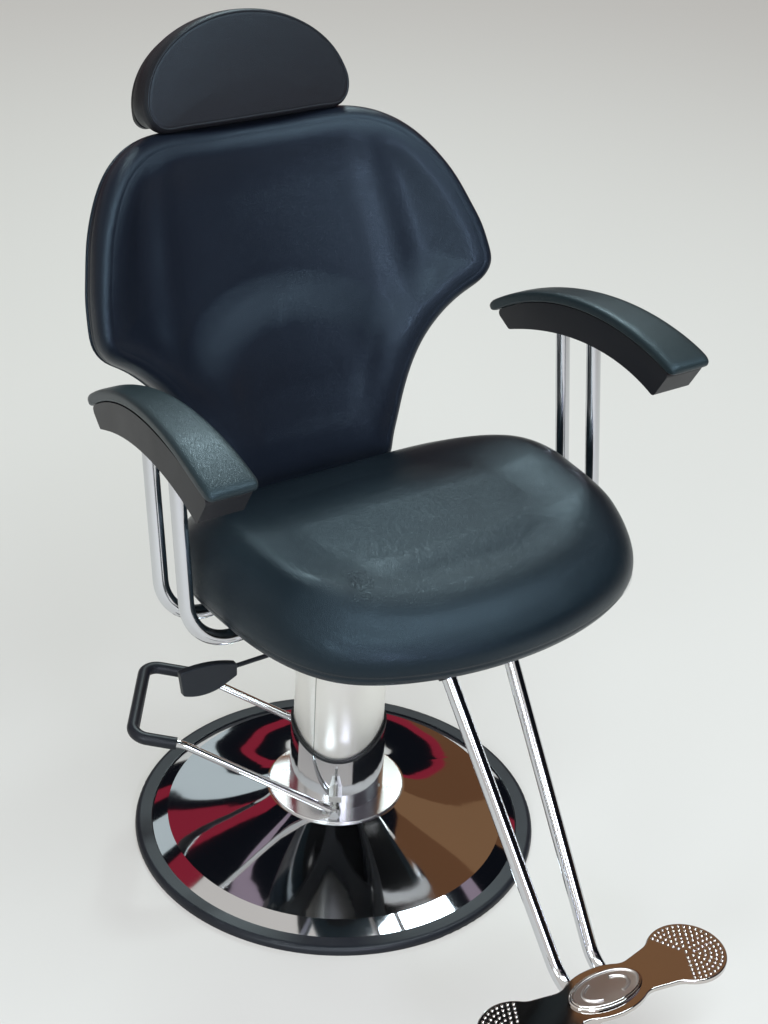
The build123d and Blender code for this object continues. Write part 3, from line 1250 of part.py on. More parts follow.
with BuildPart() as lever_rod:
    with BuildSketch(Plane(origin=(LEVER_PIVOT_X, LEVER_Y, lever_z), z_dir=(-1, 0, 0))):
        Circle(LEVER_ROD_RADIUS)
    extrude(amount=LEVER_PIVOT_X - PADDLE_INNER + PADDLE_GRIP)
    with BuildSketch(lever_side):
        with Locations((LEVER_PIVOT_X, lever_z)):
            Circle(LEVER_HUB_RADIUS)
    extrude(amount=LEVER_HUB_WIDTH / 2, both=True)
    with BuildSketch(lever_side):
        with Locations((LEVER_PIVOT_X, lever_z)):
            Circle(LEVER_PIN_RADIUS + RUNNING_FIT)
    extrude(amount=LEVER_HUB_WIDTH, both=True, mode=Mode.SUBTRACT)
lever_rod.part.label = "lever_rod"
export_step(lever_rod.part, "parts/lever_rod.step")

# Leaf-shaped paddle: it widens from the rod to a blunt outer end.
paddle_length = PADDLE_INNER - PADDLE_OUTER
with BuildPart() as lever_paddle:
    with BuildSketch(lever_side) as leaf:
        with BuildLine():
            upper = ThreePointArc(
                (PADDLE_INNER, lever_z + PADDLE_HEIGHT * 0.14),
                (PADDLE_INNER - paddle_length * 0.4, lever_z + PADDLE_HEIGHT * 0.38),
                (PADDLE_OUTER, lever_z + PADDLE_HEIGHT * 0.42),
            )
            blunt = Line(upper @ 1, (PADDLE_OUTER + 5, lever_z - PADDLE_HEIGHT * 0.42))
            lower = ThreePointArc(
                blunt @ 1,
                (PADDLE_INNER - paddle_length * 0.6, lever_z - PADDLE_HEIGHT * 0.6),
                (PADDLE_INNER - paddle_length * 0.3, lever_z - PADDLE_HEIGHT * 0.54),
            )
            heel = Line(lower @ 1, (PADDLE_INNER, lever_z - PADDLE_HEIGHT * 0.28))
            Line(heel @ 1, upper @ 0)
        make_face()
        fillet(leaf.vertices(), 3)
    extrude(amount=PADDLE_THICKNESS / 2, both=True)
    for flank in lever_paddle.faces().filter_by(Axis.Y):
        fillet(flank.edges(), PADDLE_THICKNESS * 0.2)
    with BuildSketch(Plane(origin=(PADDLE_INNER + 1, LEVER_Y, lever_z), z_dir=(-1, 0, 0))):
        Circle(LEVER_ROD_RADIUS)
    extrude(amount=PADDLE_GRIP + 1, mode=Mode.SUBTRACT)
lever_paddle.part.label = "lever_paddle"
export_step(lever_paddle.part, "parts/lever_paddle.step")

# ---------------------------------------------------------------- footrest
def foot_tube_path(sign):
    """Centre line of a footrest tube: down from its socket, then forward under the plate."""
    with BuildLine() as path:
        FilletPolyline(
            (sign * FOOT_TUBE_TOP_X, FOOT_TUBE_TOP_Y, foot_tube_top_z),
            (sign * FOOT_TUBE_LOW_X, FOOT_TUBE_LOW_Y, FOOT_TUBE_LOW_Z),
            (sign * FOOT_TUBE_LOW_X, FOOT_TUBE_END_Y, FOOT_TUBE_LOW_Z),
            radius=FOOT_TUBE_BEND,
        )
    return path.line


for side, sign in side_signs.items():
    tube_path = foot_tube_path(sign)
    top_point = tube_path @ 0
    down_tube = tube_path % 0
    with BuildPart() as foot_tube:
        with BuildSketch(Plane(origin=top_point, z_dir=down_tube)):
            Circle(TUBE_RADIUS)
        sweep(path=tube_path)
    foot_tube.part.label = f"foot_tube_{side}"
    export_step(foot_tube.part, f"parts/foot_tube_{side}.step")

    with BuildPart() as foot_socket:
        with BuildSketch(Plane(origin=top_point - down_tube * SOCKET_CAP, z_dir=down_tube)):
            Circle(SOCKET_RADIUS)
        extrude(amount=SOCKET_CAP + SOCKET_LENGTH)
        with BuildSketch(Plane(origin=top_point, z_dir=down_tube)):
            Circle(TUBE_RADIUS + RUNNING_FIT)
        extrude(amount=SOCKET_LENGTH, mode=Mode.SUBTRACT)
        with BuildSketch(Plane.XY.offset(frame_top - REST_GAP)):
            with Locations((top_point.X, top_point.Y)):
                Rectangle(4 * SOCKET_RADIUS, 4 * SOCKET_RADIUS)
        extrude(amount=FRAME_DEPTH, mode=Mode.SUBTRACT)
        with BuildSketch(Plane.XY.offset(FRAME_BOTTOM - SOCKET_LENGTH)):
            with Locations((top_point.X, RAIL_FRONT)):
                Rectangle(4 * SOCKET_RADIUS, FRAME_DEPTH, align=(Align.CENTER, Align.MIN))
        extrude(amount=FRAME_DEPTH * 3, mode=Mode.SUBTRACT)
    foot_socket.part.label = f"foot_socket_{side}"
    export_step(foot_socket.part, f"parts/foot_socket_{side}.step")

# Cast plate: two round lobes joined by a waisted web with an oval boss in the middle,
# and two lugs underneath that take the tube ends.
plate_bottom = FOOT_TUBE_LOW_Z + TUBE_RADIUS + REST_GAP
spot_face = FOOT_TUBE_LOW_Z - PLATE_LUG_RADIUS + 1
bend_turn = atan2(foot_tube_top_z - FOOT_TUBE_LOW_Z, FOOT_TUBE_TOP_Y - FOOT_TUBE_LOW_Y)
lug_front = FOOT_TUBE_END_Y - PLATE_LUG_END
lug_rear = FOOT_TUBE_LOW_Y - FOOT_TUBE_BEND * tan(bend_turn / 2) - PLATE_LUG_SLACK
screw_places = [(sign * FOOT_TUBE_LOW_X, FOOT_TUBE_END_Y + PLATE_LUG_RADIUS) for sign in side_signs.values()]
with BuildPart() as foot_plate:
    with BuildSketch(Plane.XY.offset(plate_bottom)) as plate_outline:
        with Locations((-LOBE_OFFSET, PLATE_CENTRE_Y), (LOBE_OFFSET, PLATE_CENTRE_Y)):
            Circle(LOBE_RADIUS)
        with Locations((0, PLATE_CENTRE_Y)):
            Ellipse(PLATE_OVAL_LENGTH / 2, PLATE_OVAL_WIDTH / 2)
        for sign in side_signs.values():
            with BuildLine():
                Polyline(
                    (0, PLATE_CENTRE_Y - PLATE_WEB_WIDTH / 2),
                    (sign * PLATE_OVAL_LENGTH / 3, PLATE_CENTRE_Y - PLATE_WEB_WIDTH / 2),
                    (sign * LOBE_OFFSET, PLATE_CENTRE_Y - PLATE_WEB_WIDTH / 2 - PLATE_WEB_FLARE),
                    (sign * LOBE_OFFSET, PLATE_CENTRE_Y + PLATE_WEB_WIDTH / 2 + PLATE_WEB_FLARE),
                    (sign * PLATE_OVAL_LENGTH / 3, PLATE_CENTRE_Y + PLATE_WEB_WIDTH / 2),
                    (0, PLATE_CENTRE_Y + PLATE_WEB_WIDTH / 2),
                    close=True,
                )
            make_face()
        fillet(plate_outline.vertices(), PLATE_BLEND)
    extrude(amount=PLATE_THICKNESS)
    fillet(foot_plate.edges().group_by(Axis.Z)[-1], PLATE_THICKNESS * 0.3)
    with BuildSketch(Plane.XY.offset(plate_bottom + PLATE_THICKNESS)):
        with Locations((0, PLATE_CENTRE_Y)):
            Ellipse(BOSS_OVAL_LENGTH / 2, BOSS_OVAL_WIDTH / 2)
    extrude(amount=BOSS_OVAL_HEIGHT)
    fillet(foot_plate.edges().group_by(Axis.Z)[-1], BOSS_OVAL_HEIGHT * 0.6)
    for sign in side_signs.values():
        with BuildSketch(Plane(origin=(sign * FOOT_TUBE_LOW_X, lug_front, FOOT_TUBE_LOW_Z), z_dir=(0, 1, 0))):
            Circle(PLATE_LUG_RADIUS)
        extrude(amount=lug_rear - lug_front)
        tube_path = foot_tube_path(sign)
        with BuildSketch(Plane(origin=tube_path @ 0, z_dir=tube_path % 0)):
            Circle(TUBE_RADIUS + RUNNING_FIT)
        sweep(path=tube_path, mode=Mode.SUBTRACT)
    with BuildSketch(Plane.XY.offset(spot_face)):
        with Locations(*screw_places):
            Circle(SCREW_HEAD_RADIUS + REST_GAP)
    extrude(amount=-PLATE_LUG_RADIUS, mode=Mode.SUBTRACT)
    with BuildSketch(Plane.XY.offset(spot_face)):
        with Locations(*screw_places):
            Circle(SCREW_RADIUS)
    extrude(amount=TUBE_RADIUS, mode=Mode.SUBTRACT)
foot_plate.part.label = "foot_plate"
export_step(foot_plate.part, "parts/foot_plate.step")

# One set screw up through each lug against its tube.
with BuildPart() as foot_screws:
    with BuildSketch(Plane.XY.offset(spot_face)):
        with Locations(*screw_places):
            Circle(SCREW_HEAD_RADIUS)
    extrude(amount=-SCREW_HEAD_HEIGHT)
    with BuildSketch(Plane.XY.offset(spot_face)):
        with Locations(*screw_places):
            Circle(SCREW_RADIUS)
    extrude(amount=FOOT_TUBE_LOW_Z - TUBE_RADIUS - spot_face)
foot_screws.part.label = "foot_screws"
export_step(foot_screws.part, "parts/foot_screws.step")
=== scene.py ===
import math
import bmesh
import bpy
import numpy as np
from mathutils import Matrix, Vector


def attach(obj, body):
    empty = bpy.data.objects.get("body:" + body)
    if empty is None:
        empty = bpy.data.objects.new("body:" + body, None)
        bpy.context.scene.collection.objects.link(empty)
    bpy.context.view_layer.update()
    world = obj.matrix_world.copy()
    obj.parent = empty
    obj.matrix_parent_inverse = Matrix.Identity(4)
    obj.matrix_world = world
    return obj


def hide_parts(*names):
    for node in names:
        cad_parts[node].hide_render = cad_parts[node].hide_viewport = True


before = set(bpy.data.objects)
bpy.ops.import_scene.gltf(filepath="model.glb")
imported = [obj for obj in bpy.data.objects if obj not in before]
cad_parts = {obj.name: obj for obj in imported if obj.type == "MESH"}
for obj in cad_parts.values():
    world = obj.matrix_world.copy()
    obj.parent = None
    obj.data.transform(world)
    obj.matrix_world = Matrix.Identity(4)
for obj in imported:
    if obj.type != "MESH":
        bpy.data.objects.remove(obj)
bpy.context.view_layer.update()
bpy.context.scene.view_settings.view_transform = "Standard"

# ------------------------------------------------------------------ the room
# A plain studio: a pale floor that runs out of sight, pale air above it, four soft lamps,
# and a few coloured screens out of the picture that polished metal can show.
LENS = 66.27
bearing, tilt, roll = (math.radians(angle) for angle in (-35.5, 29.9, 3.2))
backward = Vector((math.sin(bearing) * math.cos(tilt), -math.cos(bearing) * math.cos(tilt), math.sin(tilt)))
level_right = Vector((0, 0, 1)).cross(backward).normalized()
level_up = backward.cross(level_right)
right = level_right * math.cos(roll) + level_up * math.sin(roll)
upward = level_up * math.cos(roll) - level_right * math.sin(roll)
camera_data = bpy.data.cameras.new("camera")
camera_data.lens = LENS
camera_data.sensor_width = 36.0
camera_data.sensor_fit = "AUTO"
camera = bpy.data.objects.new("camera", camera_data)
bpy.context.scene.collection.objects.link(camera)
camera.matrix_world = Matrix((
    (right.x, upward.x, backward.x, -1.2042),
    (right.y, upward.y, backward.y, -1.7694),
    (right.z, upward.z, backward.z, 1.7437),
    (0, 0, 0, 1),
))
bpy.context.scene.camera = camera


class Wire:
    """A socket in a shader's tree: sums of wires and numbers add Math nodes, node() adds any other."""

    def __init__(self, tree, socket=None):
        self.tree = tree
        self.socket = socket

    def node(self, kind, settings=None, sockets=None, output=0):
        made = self.tree.nodes.new("ShaderNode" + kind)
        for key, value in (settings or {}).items():
            if key == "stops":
                while len(made.color_ramp.elements) < len(value):
                    made.color_ramp.elements.new(1.0)
                for stop, (place, colour) in zip(made.color_ramp.elements, value):
                    stop.position = place
                    stop.color = colour
            else:
                setattr(made, key, value)
        for key, value in (sockets or {}).items():
            if isinstance(value, Wire):
                self.tree.links.new(value.socket, made.inputs[key])
            else:
                made.inputs[key].default_value = value
        return Wire(self.tree, made.outputs[output])

    def into(self, socket):
        self.tree.links.new(self.socket, socket)

    def math(self, operation, *values):
        return self.node("Math", {"operation": operation}, dict(enumerate(values)))

    def __add__(self, other):
        return self.math("ADD", self, other)

    def __sub__(self, other):
        return self.math("SUBTRACT", self, other)

    def __rsub__(self, other):
        return self.math("SUBTRACT", other, self)

    def __mul__(self, other):
        return self.math("MULTIPLY", self, other)

    def __truediv__(self, other):
        return self.math("DIVIDE", self, other)

    def __rtruediv__(self, other):
        return self.math("DIVIDE", other, self)

    __radd__ = __add__
    __rmul__ = __mul__


def blend_colour(factor, first, second):
    """Colour between two others, by a factor from 0 to 1."""
    return factor.node("Mix", {"data_type": "RGBA"}, {0: factor, 6: first, 7: second}, 2)


def seen_directly(start):
    """1 for what the camera, polished metal and glass see, 0 for light on its way to a surface."""
    mirrored = start.math(
        "MAXIMUM",
        start.node("LightPath", output="Is Glossy Ray"),
        start.node("LightPath", output="Is Transmission Ray"),
    )
    return start.math("MAXIMUM", start.node("LightPath", output="Is Camera Ray"), mirrored)


AIR_COLOUR = (0.700, 0.672, 0.636, 1)
AIR_LIGHT = 0.24
world = bpy.data.worlds.new("air")
world.use_nodes = True
bpy.context.scene.world = world
air = world.node_tree.nodes["Background"]
start = Wire(world.node_tree)
seen = seen_directly(start)
blend_colour(seen, (1, 1, 1, 1), AIR_COLOUR).into(air.inputs["Color"])
(AIR_LIGHT + seen * (1 - AIR_LIGHT)).into(air.inputs["Strength"])


def plain_object(name, points, faces, finish=None):
    """New mesh object from points in metres and lists of their numbers."""
    mesh = bpy.data.meshes.new(name)
    mesh.from_pydata([tuple(p) for p in points], [], faces)
    mesh.update()
    if finish:
        mesh.materials.append(finish)
    made = bpy.data.objects.new(name, mesh)
    bpy.context.scene.collection.objects.link(made)
    return made


FLOOR_REACH = 22.0
FLOOR_GLOW = 0.5
floor_finish = bpy.data.materials.new("pale floor")
floor_finish.use_nodes = True
tree = floor_finish.node_tree
tree.nodes.remove(tree.nodes["Principled BSDF"])
start = Wire(tree)
seen = seen_directly(start)
lit = start.node("BsdfDiffuse", {}, {"Color": AIR_COLOUR})
plain = start.node("Emission", {}, {"Color": AIR_COLOUR})
mixed = start.node("MixShader", {}, {0: seen * FLOOR_GLOW, 1: lit, 2: plain})
mixed.into(tree.nodes["Material Output"].inputs["Surface"])
corners = [(sx * FLOOR_REACH, sy * FLOOR_REACH, 0) for sx, sy in ((-1, -1), (1, -1), (1, 1), (-1, 1))]
floor = plain_object("floor", corners, [(0, 1, 2, 3)], floor_finish)


def soft_lamp(name, place, width, depth, power, colour):
    """Soft panel lamp that looks at the middle of the chair, its width level."""
    data = bpy.data.lights.new(name, "AREA")
    data.shape = "RECTANGLE"
    data.size = width
    data.size_y = depth
    data.energy = power
    data.color = colour
    lamp = bpy.data.objects.new(name, data)
    bpy.context.scene.collection.objects.link(lamp)
    lamp.location = place
    lamp.rotation_euler = (Vector(place) - Vector((0, -0.1, 0.5))).to_track_quat("Z", "Y").to_euler()


soft_lamp("lamp_left", (-3.6, -2.6, 2.2), 1.0, 1.3, 84, (0.80, 0.92, 1.0))
soft_lamp("lamp_front", (-0.9, -3.6, 1.9), 0.8, 0.9, 62, (0.74, 0.78, 1.0))
soft_lamp("lamp_top", (0.3, -1.5, 3.3), 4.0, 0.6, 110, (0.80, 0.93, 1.0))
soft_lamp("lamp_rear", (1.4, 2.15, 3.5), 0.9, 0.8, 90, (0.80, 0.98, 1.0))


def screen(name, bearings, lowest, bands):
    """Curved screen far out in the room that only polished surfaces see: a stack of bands of colour.

    Each band is its top's elevation in degrees and its colour.
    """
    reach = 6.0
    columns = 12
    levels = [lowest, *[top for top, colour in bands]]
    points = []
    for column in range(columns + 1):
        angle = math.radians(bearings[0] + (bearings[1] - bearings[0]) * column / columns)
        for level in levels:
            rise = math.radians(level)
            points.append((
                reach * math.cos(angle) * math.cos(rise),
                reach * math.sin(angle) * math.cos(rise),
                reach * math.sin(rise) + 0.02,
            ))
    rows = len(bands)
    faces = [
        (c * (rows + 1) + r, (c + 1) * (rows + 1) + r, (c + 1) * (rows + 1) + r + 1, c * (rows + 1) + r + 1)
        for r in range(rows) for c in range(columns)
    ]
    made = plain_object(name, points, faces)
    for number, (top, colour) in enumerate(bands):
        paint = bpy.data.materials.new(f"{name}_{number}")
        paint.use_nodes = True
        glow = Wire(paint.node_tree).node("Emission", {}, {"Color": (*colour, 1)})
        glow.into(paint.node_tree.nodes["Material Output"].inputs["Surface"])
        made.data.materials.append(paint)
        for column in range(columns):
            made.data.polygons[number * columns + column].material_index = number
    made.visible_camera = False
    made.visible_diffuse = False
    made.visible_shadow = False
    made.visible_transmission = False


BROWN = (0.150, 0.070, 0.034)
TAN = (0.240, 0.130, 0.066)
DARK = (0.005, 0.006, 0.009)
RED = (0.270, 0.020, 0.040)
MIST = (0.560, 0.640, 0.660)
LILAC = (0.300, 0.240, 0.300)
screen("screen_right", (4, 62), 0, (
    (14, DARK), (17, RED), (30, BROWN), (48, TAN), (61, BROWN), (63, MIST), (66, RED), (80, DARK),
))
screen("screen_rear", (62, 130), 0, (
    (9, DARK), (13, RED), (20, DARK), (32, MIST), (36, DARK), (46, RED), (57, DARK), (61, LILAC), (80, DARK),
))
screen("screen_front", (-86, 4), 0, ((42, DARK), (46, LILAC), (58, DARK)))
screen("screen_patch", (-40, -30), 3, ((10, (3.0, 1.50, 0.60)),))

# ------------------------------------------------------------------ round base
# Black moulded rubber ring under the edge of the base, pushed on and held by its own lip,
# so the chrome never touches the floor.


def new_finish(name, constants):
    """New material, its shader and the start of its tree; the constants go on the shader's sockets."""
    material = bpy.data.materials.new(name)
    material.use_nodes = True
    shader = material.node_tree.nodes["Principled BSDF"]
    for socket, value in constants.items():
        shader.inputs[socket].default_value = value
    return material, shader, Wire(material.node_tree)


def noise(place, scale, detail=3.0, output=0):
    """Cloudy pattern of the given scale, from 0 to 1."""
    return place.node("TexNoise", {}, {"Vector": place, "Scale": scale, "Detail": detail}, output)


def axes_of(place):
    """The X, Y and Z of a place, each a wire."""
    parts = place.node("SeparateXYZ", {}, {0: place})
    return [Wire(parts.tree, parts.socket.node.outputs[i]) for i in range(3)]


def raised(height, depth, under=None):
    """Surface slope of a height pattern whose full step is depth in metres."""
    sockets = {"Strength": 1.0, "Distance": depth, "Height": height}
    if under:
        sockets["Normal"] = under
    return height.node("Bump", {}, sockets)


def dress(material, *names):
    """Gives CAD nodes a finish in every slot that they have."""
    for name in names:
        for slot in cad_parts[name].material_slots:
            slot.material = material


def moulded_finish(name, colour, dust, roughness, pebble, pebble_depth):
    """Moulded rubber or plastic: fine pebble, cloudy gloss and a little dust in random cloudy patches."""
    material, shader, start = new_finish(name, {"Specular IOR Level": 0.28})
    place = start.node("TexCoord", output="Object")
    clouds = noise(place, 22)
    blend_colour(clouds, (*colour, 1), (*dust, 1)).into(shader.inputs["Base Color"])
    (roughness + clouds * 0.14).into(shader.inputs["Roughness"])
    fine = noise(place, pebble, 2.0)
    raised(clouds, pebble_depth * 3, raised(fine, pebble_depth)).into(shader.inputs["Normal"])
    return material


rubber = moulded_finish("rubber", (0.005, 0.006, 0.009), (0.014, 0.016, 0.021), 0.34, 900, 0.00010)
dress(rubber, "base_rim_ring")

# Pressed steel dome, polished and chrome plated. The press leaves faint waves that run from the
# crown to the edge, and they draw the reflections out into streaks.
WAVES_ROUND = 1.6
WAVES_OUT = 0.8
DULL_ROUGHNESS = 0.26


def plated_finish(name, colour, roughness, smudge, wave_depth=0.0, radial=False, dull_oval=None):
    """Polished plating with cloudy smudges, hair-fine wipe marks and slow waves of the sheet.

    A dull oval is left unpolished: the Y of its middle and its half length and half width.
    """
    material, shader, start = new_finish(name, {"Metallic": 1.0})
    place = start.node("TexCoord", output="Object")
    if radial:
        x, y, z = axes_of(place)
        turn = start.math("ARCTAN2", y, x)
        out = start.math("SQRT", x * x + y * y)
        wave_place = start.node("CombineXYZ", {}, {
            0: start.math("COSINE", turn) * WAVES_ROUND,
            1: start.math("SINE", turn) * WAVES_ROUND,
            2: out * WAVES_OUT,
        })
    else:
        wave_place = place
    clouds = noise(place, 9, 4.0)
    wipes = noise(place, 160, 2.0)
    blend_colour(clouds, (*colour, 1), tuple(c * 0.9 for c in colour) + (1,)).into(shader.inputs["Base Color"])
    gloss = roughness + clouds * smudge + wipes * smudge * 0.3
    if dull_oval:
        middle, half_length, half_width = dull_oval
        x, y, z = axes_of(place)
        along, across = x / half_length, (y - middle) / half_width
        gloss = gloss + start.math("LESS_THAN", along * along + across * across, 1.0) * DULL_ROUGHNESS
    gloss.into(shader.inputs["Roughness"])
    if wave_depth:
        raised(noise(wave_place, 2.6, 0.0), wave_depth).into(shader.inputs["Normal"])
    else:
        raised(wipes, 0.000002).into(shader.inputs["Normal"])
    return material


CHROME_COLOUR = (0.70, 0.71, 0.73)
chrome = plated_finish("chrome", CHROME_COLOUR, 0.05, 0.07)
pressed_chrome = plated_finish("pressed chrome", CHROME_COLOUR, 0.025, 0.04, 0.0007, radial=True)
dress(pressed_chrome, "base_dome")

# Turned flange disc on the crown, brushed and plated, with zinc plated bolts from below.
brushed_chrome = plated_finish("brushed chrome", (0.86, 0.86, 0.86), 0.16, 0.10)
zinc = plated_finish("zinc plate", (0.56, 0.56, 0.53), 0.30, 0.25)
dress(brushed_chrome, "column_flange")
dress(zinc, "flange_bolts")


def cast_finish(name, colour, roughness):
    """Sand-cast iron under thin paint: coarse skin with pits."""
    material, shader, start = new_finish(name, {"Specular IOR Level": 0.35})
    place = start.node("TexCoord", output="Object")
    clouds = noise(place, 14, 5.0)
    blend_colour(clouds, (*colour, 1), tuple(c * 1.6 for c in colour) + (1,)).into(shader.inputs["Base Color"])
    (roughness + clouds * 0.2).into(shader.inputs["Roughness"])
    raised(noise(place, 320, 4.0), 0.0004).into(shader.inputs["Normal"])
    return material


dress(cast_finish("cast iron", (0.060, 0.062, 0.066), 0.5), "pump_housing")

# ------------------------------------------------------------------ column and pump
# Chrome cup with a scooped rim, a black wiper on that rim, and the steel sleeve that slides in it.
# The sleeve is rolled from sheet and butt welded, so one straight seam runs down it.
SEAM_BEARING = math.radians(-155.5)
SEAM_HALF_WIDTH = 0.0011
SLEEVE_RADIUS = 0.063
dress(chrome, "column_cup", "pump_cylinder", "piston_rod", "pedal_pivots")
dress(moulded_finish("wiper", (0.008, 0.009, 0.010), (0.020, 0.021, 0.022), 0.42, 1200, 0.00008), "cup_wiper")
sleeve_steel, shader, start = new_finish("sleeve steel", {"Metallic": 1.0})
place = start.node("TexCoord", output="Object")
x, y, z = axes_of(place)
turn = start.math("ARCTAN2", y, x)
off_seam = start.math("ABSOLUTE", turn - SEAM_BEARING) * SLEEVE_RADIUS
seam = start.math("SUBTRACT", 1.0, start.math("MINIMUM", off_seam / SEAM_HALF_WIDTH, 1.0))
rings = noise(start.node("CombineXYZ", {}, {0: turn * 0.2, 1: 0.0, 2: z * 900}), 1.0, 2.0)
clouds = noise(place, 11, 3.0)
polish = blend_colour(clouds, (0.93, 0.915, 0.875, 1), (0.86, 0.85, 0.815, 1))
blend_colour(seam, polish, (0.20, 0.19, 0.17, 1)).into(shader.inputs["Base Color"])
(0.27 + rings * 0.06 + clouds * 0.05 + seam * 0.2).into(shader.inputs["Roughness"])
raised(seam, -0.0004, raised(rings, 0.000004)).into(shader.inputs["Normal"])
dress(sleeve_steel, "lift_sleeve")
dress(zinc, "sleeve_cap", "plunger_guide", "pump_plunger")

# ------------------------------------------------------------------ foot pedal
# Steel rod bent into a loop and chrome plated, its two legs on the pivots beside the cup. A black
# rubber grip is pushed over its far end.
dress(chrome, "pedal_bar")
dress(rubber, "pedal_grip")

# ------------------------------------------------------------------ frame under the seat
# Flat steel rails, cross bars, tabs and brackets, welded and powder coated black. Zinc plated
# bolts hold them to the hub below, and zinc plated screws to the seat board above.


def coated_finish(name, colour, roughness):
    """Powder coat: orange-peel skin, cloudy gloss."""
    material, shader, start = new_finish(name, {"Specular IOR Level": 0.28})
    place = start.node("TexCoord", output="Object")
    clouds = noise(place, 18, 4.0)
    blend_colour(clouds, (*colour, 1), tuple(c * 1.7 for c in colour) + (1,)).into(shader.inputs["Base Color"])
    (roughness + clouds * 0.12).into(shader.inputs["Roughness"])
    raised(noise(place, 480, 2.0), 0.00010).into(shader.inputs["Normal"])
    return material


coated_steel = coated_finish("coated steel", (0.012, 0.013, 0.015), 0.32)
dress(coated_steel, "swivel_hub", "mount_plate", "frame_rail_left", "frame_rail_right", "frame_cross_front",
      "frame_cross_rear", "board_tabs", "spring_bracket", "lever_bracket", "back_bracket_left",
      "back_bracket_right", "foot_socket_left", "foot_socket_right", "gas_cylinder", "rod_clevis")
dress(zinc, "hub_bolts", "board_screws", "hinge_bolts", "spring_pin", "lever_pin", "bracket_screws", "foot_screws")
dress(chrome, "gas_rod", "arm_hoop_front", "arm_hoop_rear", "foot_tube_left", "foot_tube_right", "headrest_posts",
      "headrest_guides")

# Plywood board, wrapped on its underside and edges in black dust cloth that is stapled on.
THREADS = 5200
dust_cloth, shader, start = new_finish("dust cloth", {"Specular IOR Level": 0.15})
place = start.node("TexCoord", output="Object")
x, y, z = axes_of(place)
threads = start.math("SINE", x * THREADS) * start.math("SINE", y * THREADS)
clouds = noise(place, 30, 5.0)
blend_colour(clouds, (0.004, 0.004, 0.005, 1), (0.012, 0.012, 0.013, 1)).into(shader.inputs["Base Color"])
(0.75 + clouds * 0.2).into(shader.inputs["Roughness"])
raised(threads, 0.00008, raised(clouds, 0.0006)).into(shader.inputs["Normal"])
dress(dust_cloth, "seat_board")

# ------------------------------------------------------------------ seat cushion
# Moulded foam on the board under one pulled vinyl cover: a deep rolled rim, a shallow dish where
# the sitter's thighs lie, a front that falls away, and a sewn band tucked in at the bottom.


def vinyl_finish(name, colour, dust, roughness):
    """Black upholstery vinyl: fine leather grain, soft cloudy gloss, a trace of dust, and a painted bluish tint on
    every highlight.
    """
    # The bluish Specular Tint is painted highlight colour: it tints every reflection on the vinyl.
    material, shader, start = new_finish(name, {"Specular IOR Level": 0.27, "Specular Tint": (0.62, 0.84, 1.0, 1)})
    place = start.node("TexCoord", output="Object")
    cells = place.node("TexVoronoi", {"feature": "DISTANCE_TO_EDGE"}, {"Vector": place, "Scale": 620.0})
    folds = start.math("MINIMUM", cells * 5.0, 1.0)
    clouds = noise(place, 5.5, 4.0)
    broad = noise(place, 17, 2.0)
    blend_colour(clouds, (*colour, 1), (*dust, 1)).into(shader.inputs["Base Color"])
    (roughness + clouds * 0.10 - folds * 0.04).into(shader.inputs["Roughness"])
    raised(broad, 0.0008, raised(folds, 0.00010)).into(shader.inputs["Normal"])
    return material


def smooth_step(value):
    """0 below 0, 1 above 1 and a smooth rise between them."""
    t = np.clip(value, 0.0, 1.0)
    return t * t * (3 - 2 * t)


def closed_curve(points, count):
    """Evenly spaced points round the smooth closed curve through the given points."""
    points = np.array(points, float)
    step = np.linalg.norm(np.roll(points, -1, 0) - points, axis=1)
    number = len(points)
    left = np.zeros((number, number))
    wanted = np.zeros_like(points)
    for i in range(number):
        before = (i - 1) % number
        after = (i + 1) % number
        left[i, before] += 1 / step[before]
        left[i, i] += 2 / step[before] + 2 / step[i]
        left[i, after] += 1 / step[i]
        wanted[i] = 3 * (
            (points[i] - points[before]) / step[before] ** 2 + (points[after] - points[i]) / step[i] ** 2
        )
    slope = np.linalg.solve(left, wanted)
    t = np.linspace(0, 1, 48, endpoint=False)[:, None]
    pieces = []
    for i in range(number):
        after = (i + 1) % number
        pieces.append(
            (2 * t**3 - 3 * t**2 + 1) * points[i] + (t**3 - 2 * t**2 + t) * step[i] * slope[i]
            + (3 * t**2 - 2 * t**3) * points[after] + (t**3 - t**2) * step[i] * slope[after]
        )
    dense = np.concatenate(pieces)
    lengths = np.linalg.norm(np.roll(dense, -1, 0) - dense, axis=1)
    travelled = np.concatenate([[0], np.cumsum(lengths)])
    wanted_at = np.linspace(0, travelled[-1], count, endpoint=False)
    closed = np.vstack([dense, dense[:1]])
    return np.stack([np.interp(wanted_at, travelled, closed[:, k]) for k in range(2)], 1)


def inward(curve):
    """Unit vectors that point into a closed curve of points."""
    along = np.roll(curve, -1, 0) - np.roll(curve, 1, 0)
    along /= np.linalg.norm(along, axis=1)[:, None]
    following = np.roll(curve, -1, 0)
    area = (curve[:, 0] * following[:, 1] - following[:, 0] * curve[:, 1]).sum()
    return np.stack([-along[:, 1], along[:, 0]], 1) * np.sign(area)


def from_edge(places, curve):
    """Distance of each place from a closed curve of points."""
    nearest = np.full(len(places), 1e9)
    for i in range(0, len(curve), 16):
        gap = places[:, None, :] - curve[None, i:i + 16, :]
        nearest = np.minimum(nearest, np.sqrt((gap**2).sum(2)).min(1))
    return nearest


def skin_faces(rows, columns):
    """Faces of a closed skin over rings of points, with one more point to close each end."""
    ring = np.arange(columns)
    after = (ring + 1) % columns
    faces = []
    for row in range(rows - 1):
        low = row * columns
        high = low + columns
        faces += np.stack([low + ring, low + after, high + after, high + ring], 1).tolist()
    first = rows * columns
    last = first - columns
    faces += np.stack([np.full(columns, first), after, ring], 1).tolist()
    faces += np.stack([np.full(columns, first + 1), last + ring, last + after], 1).tolist()
    return faces


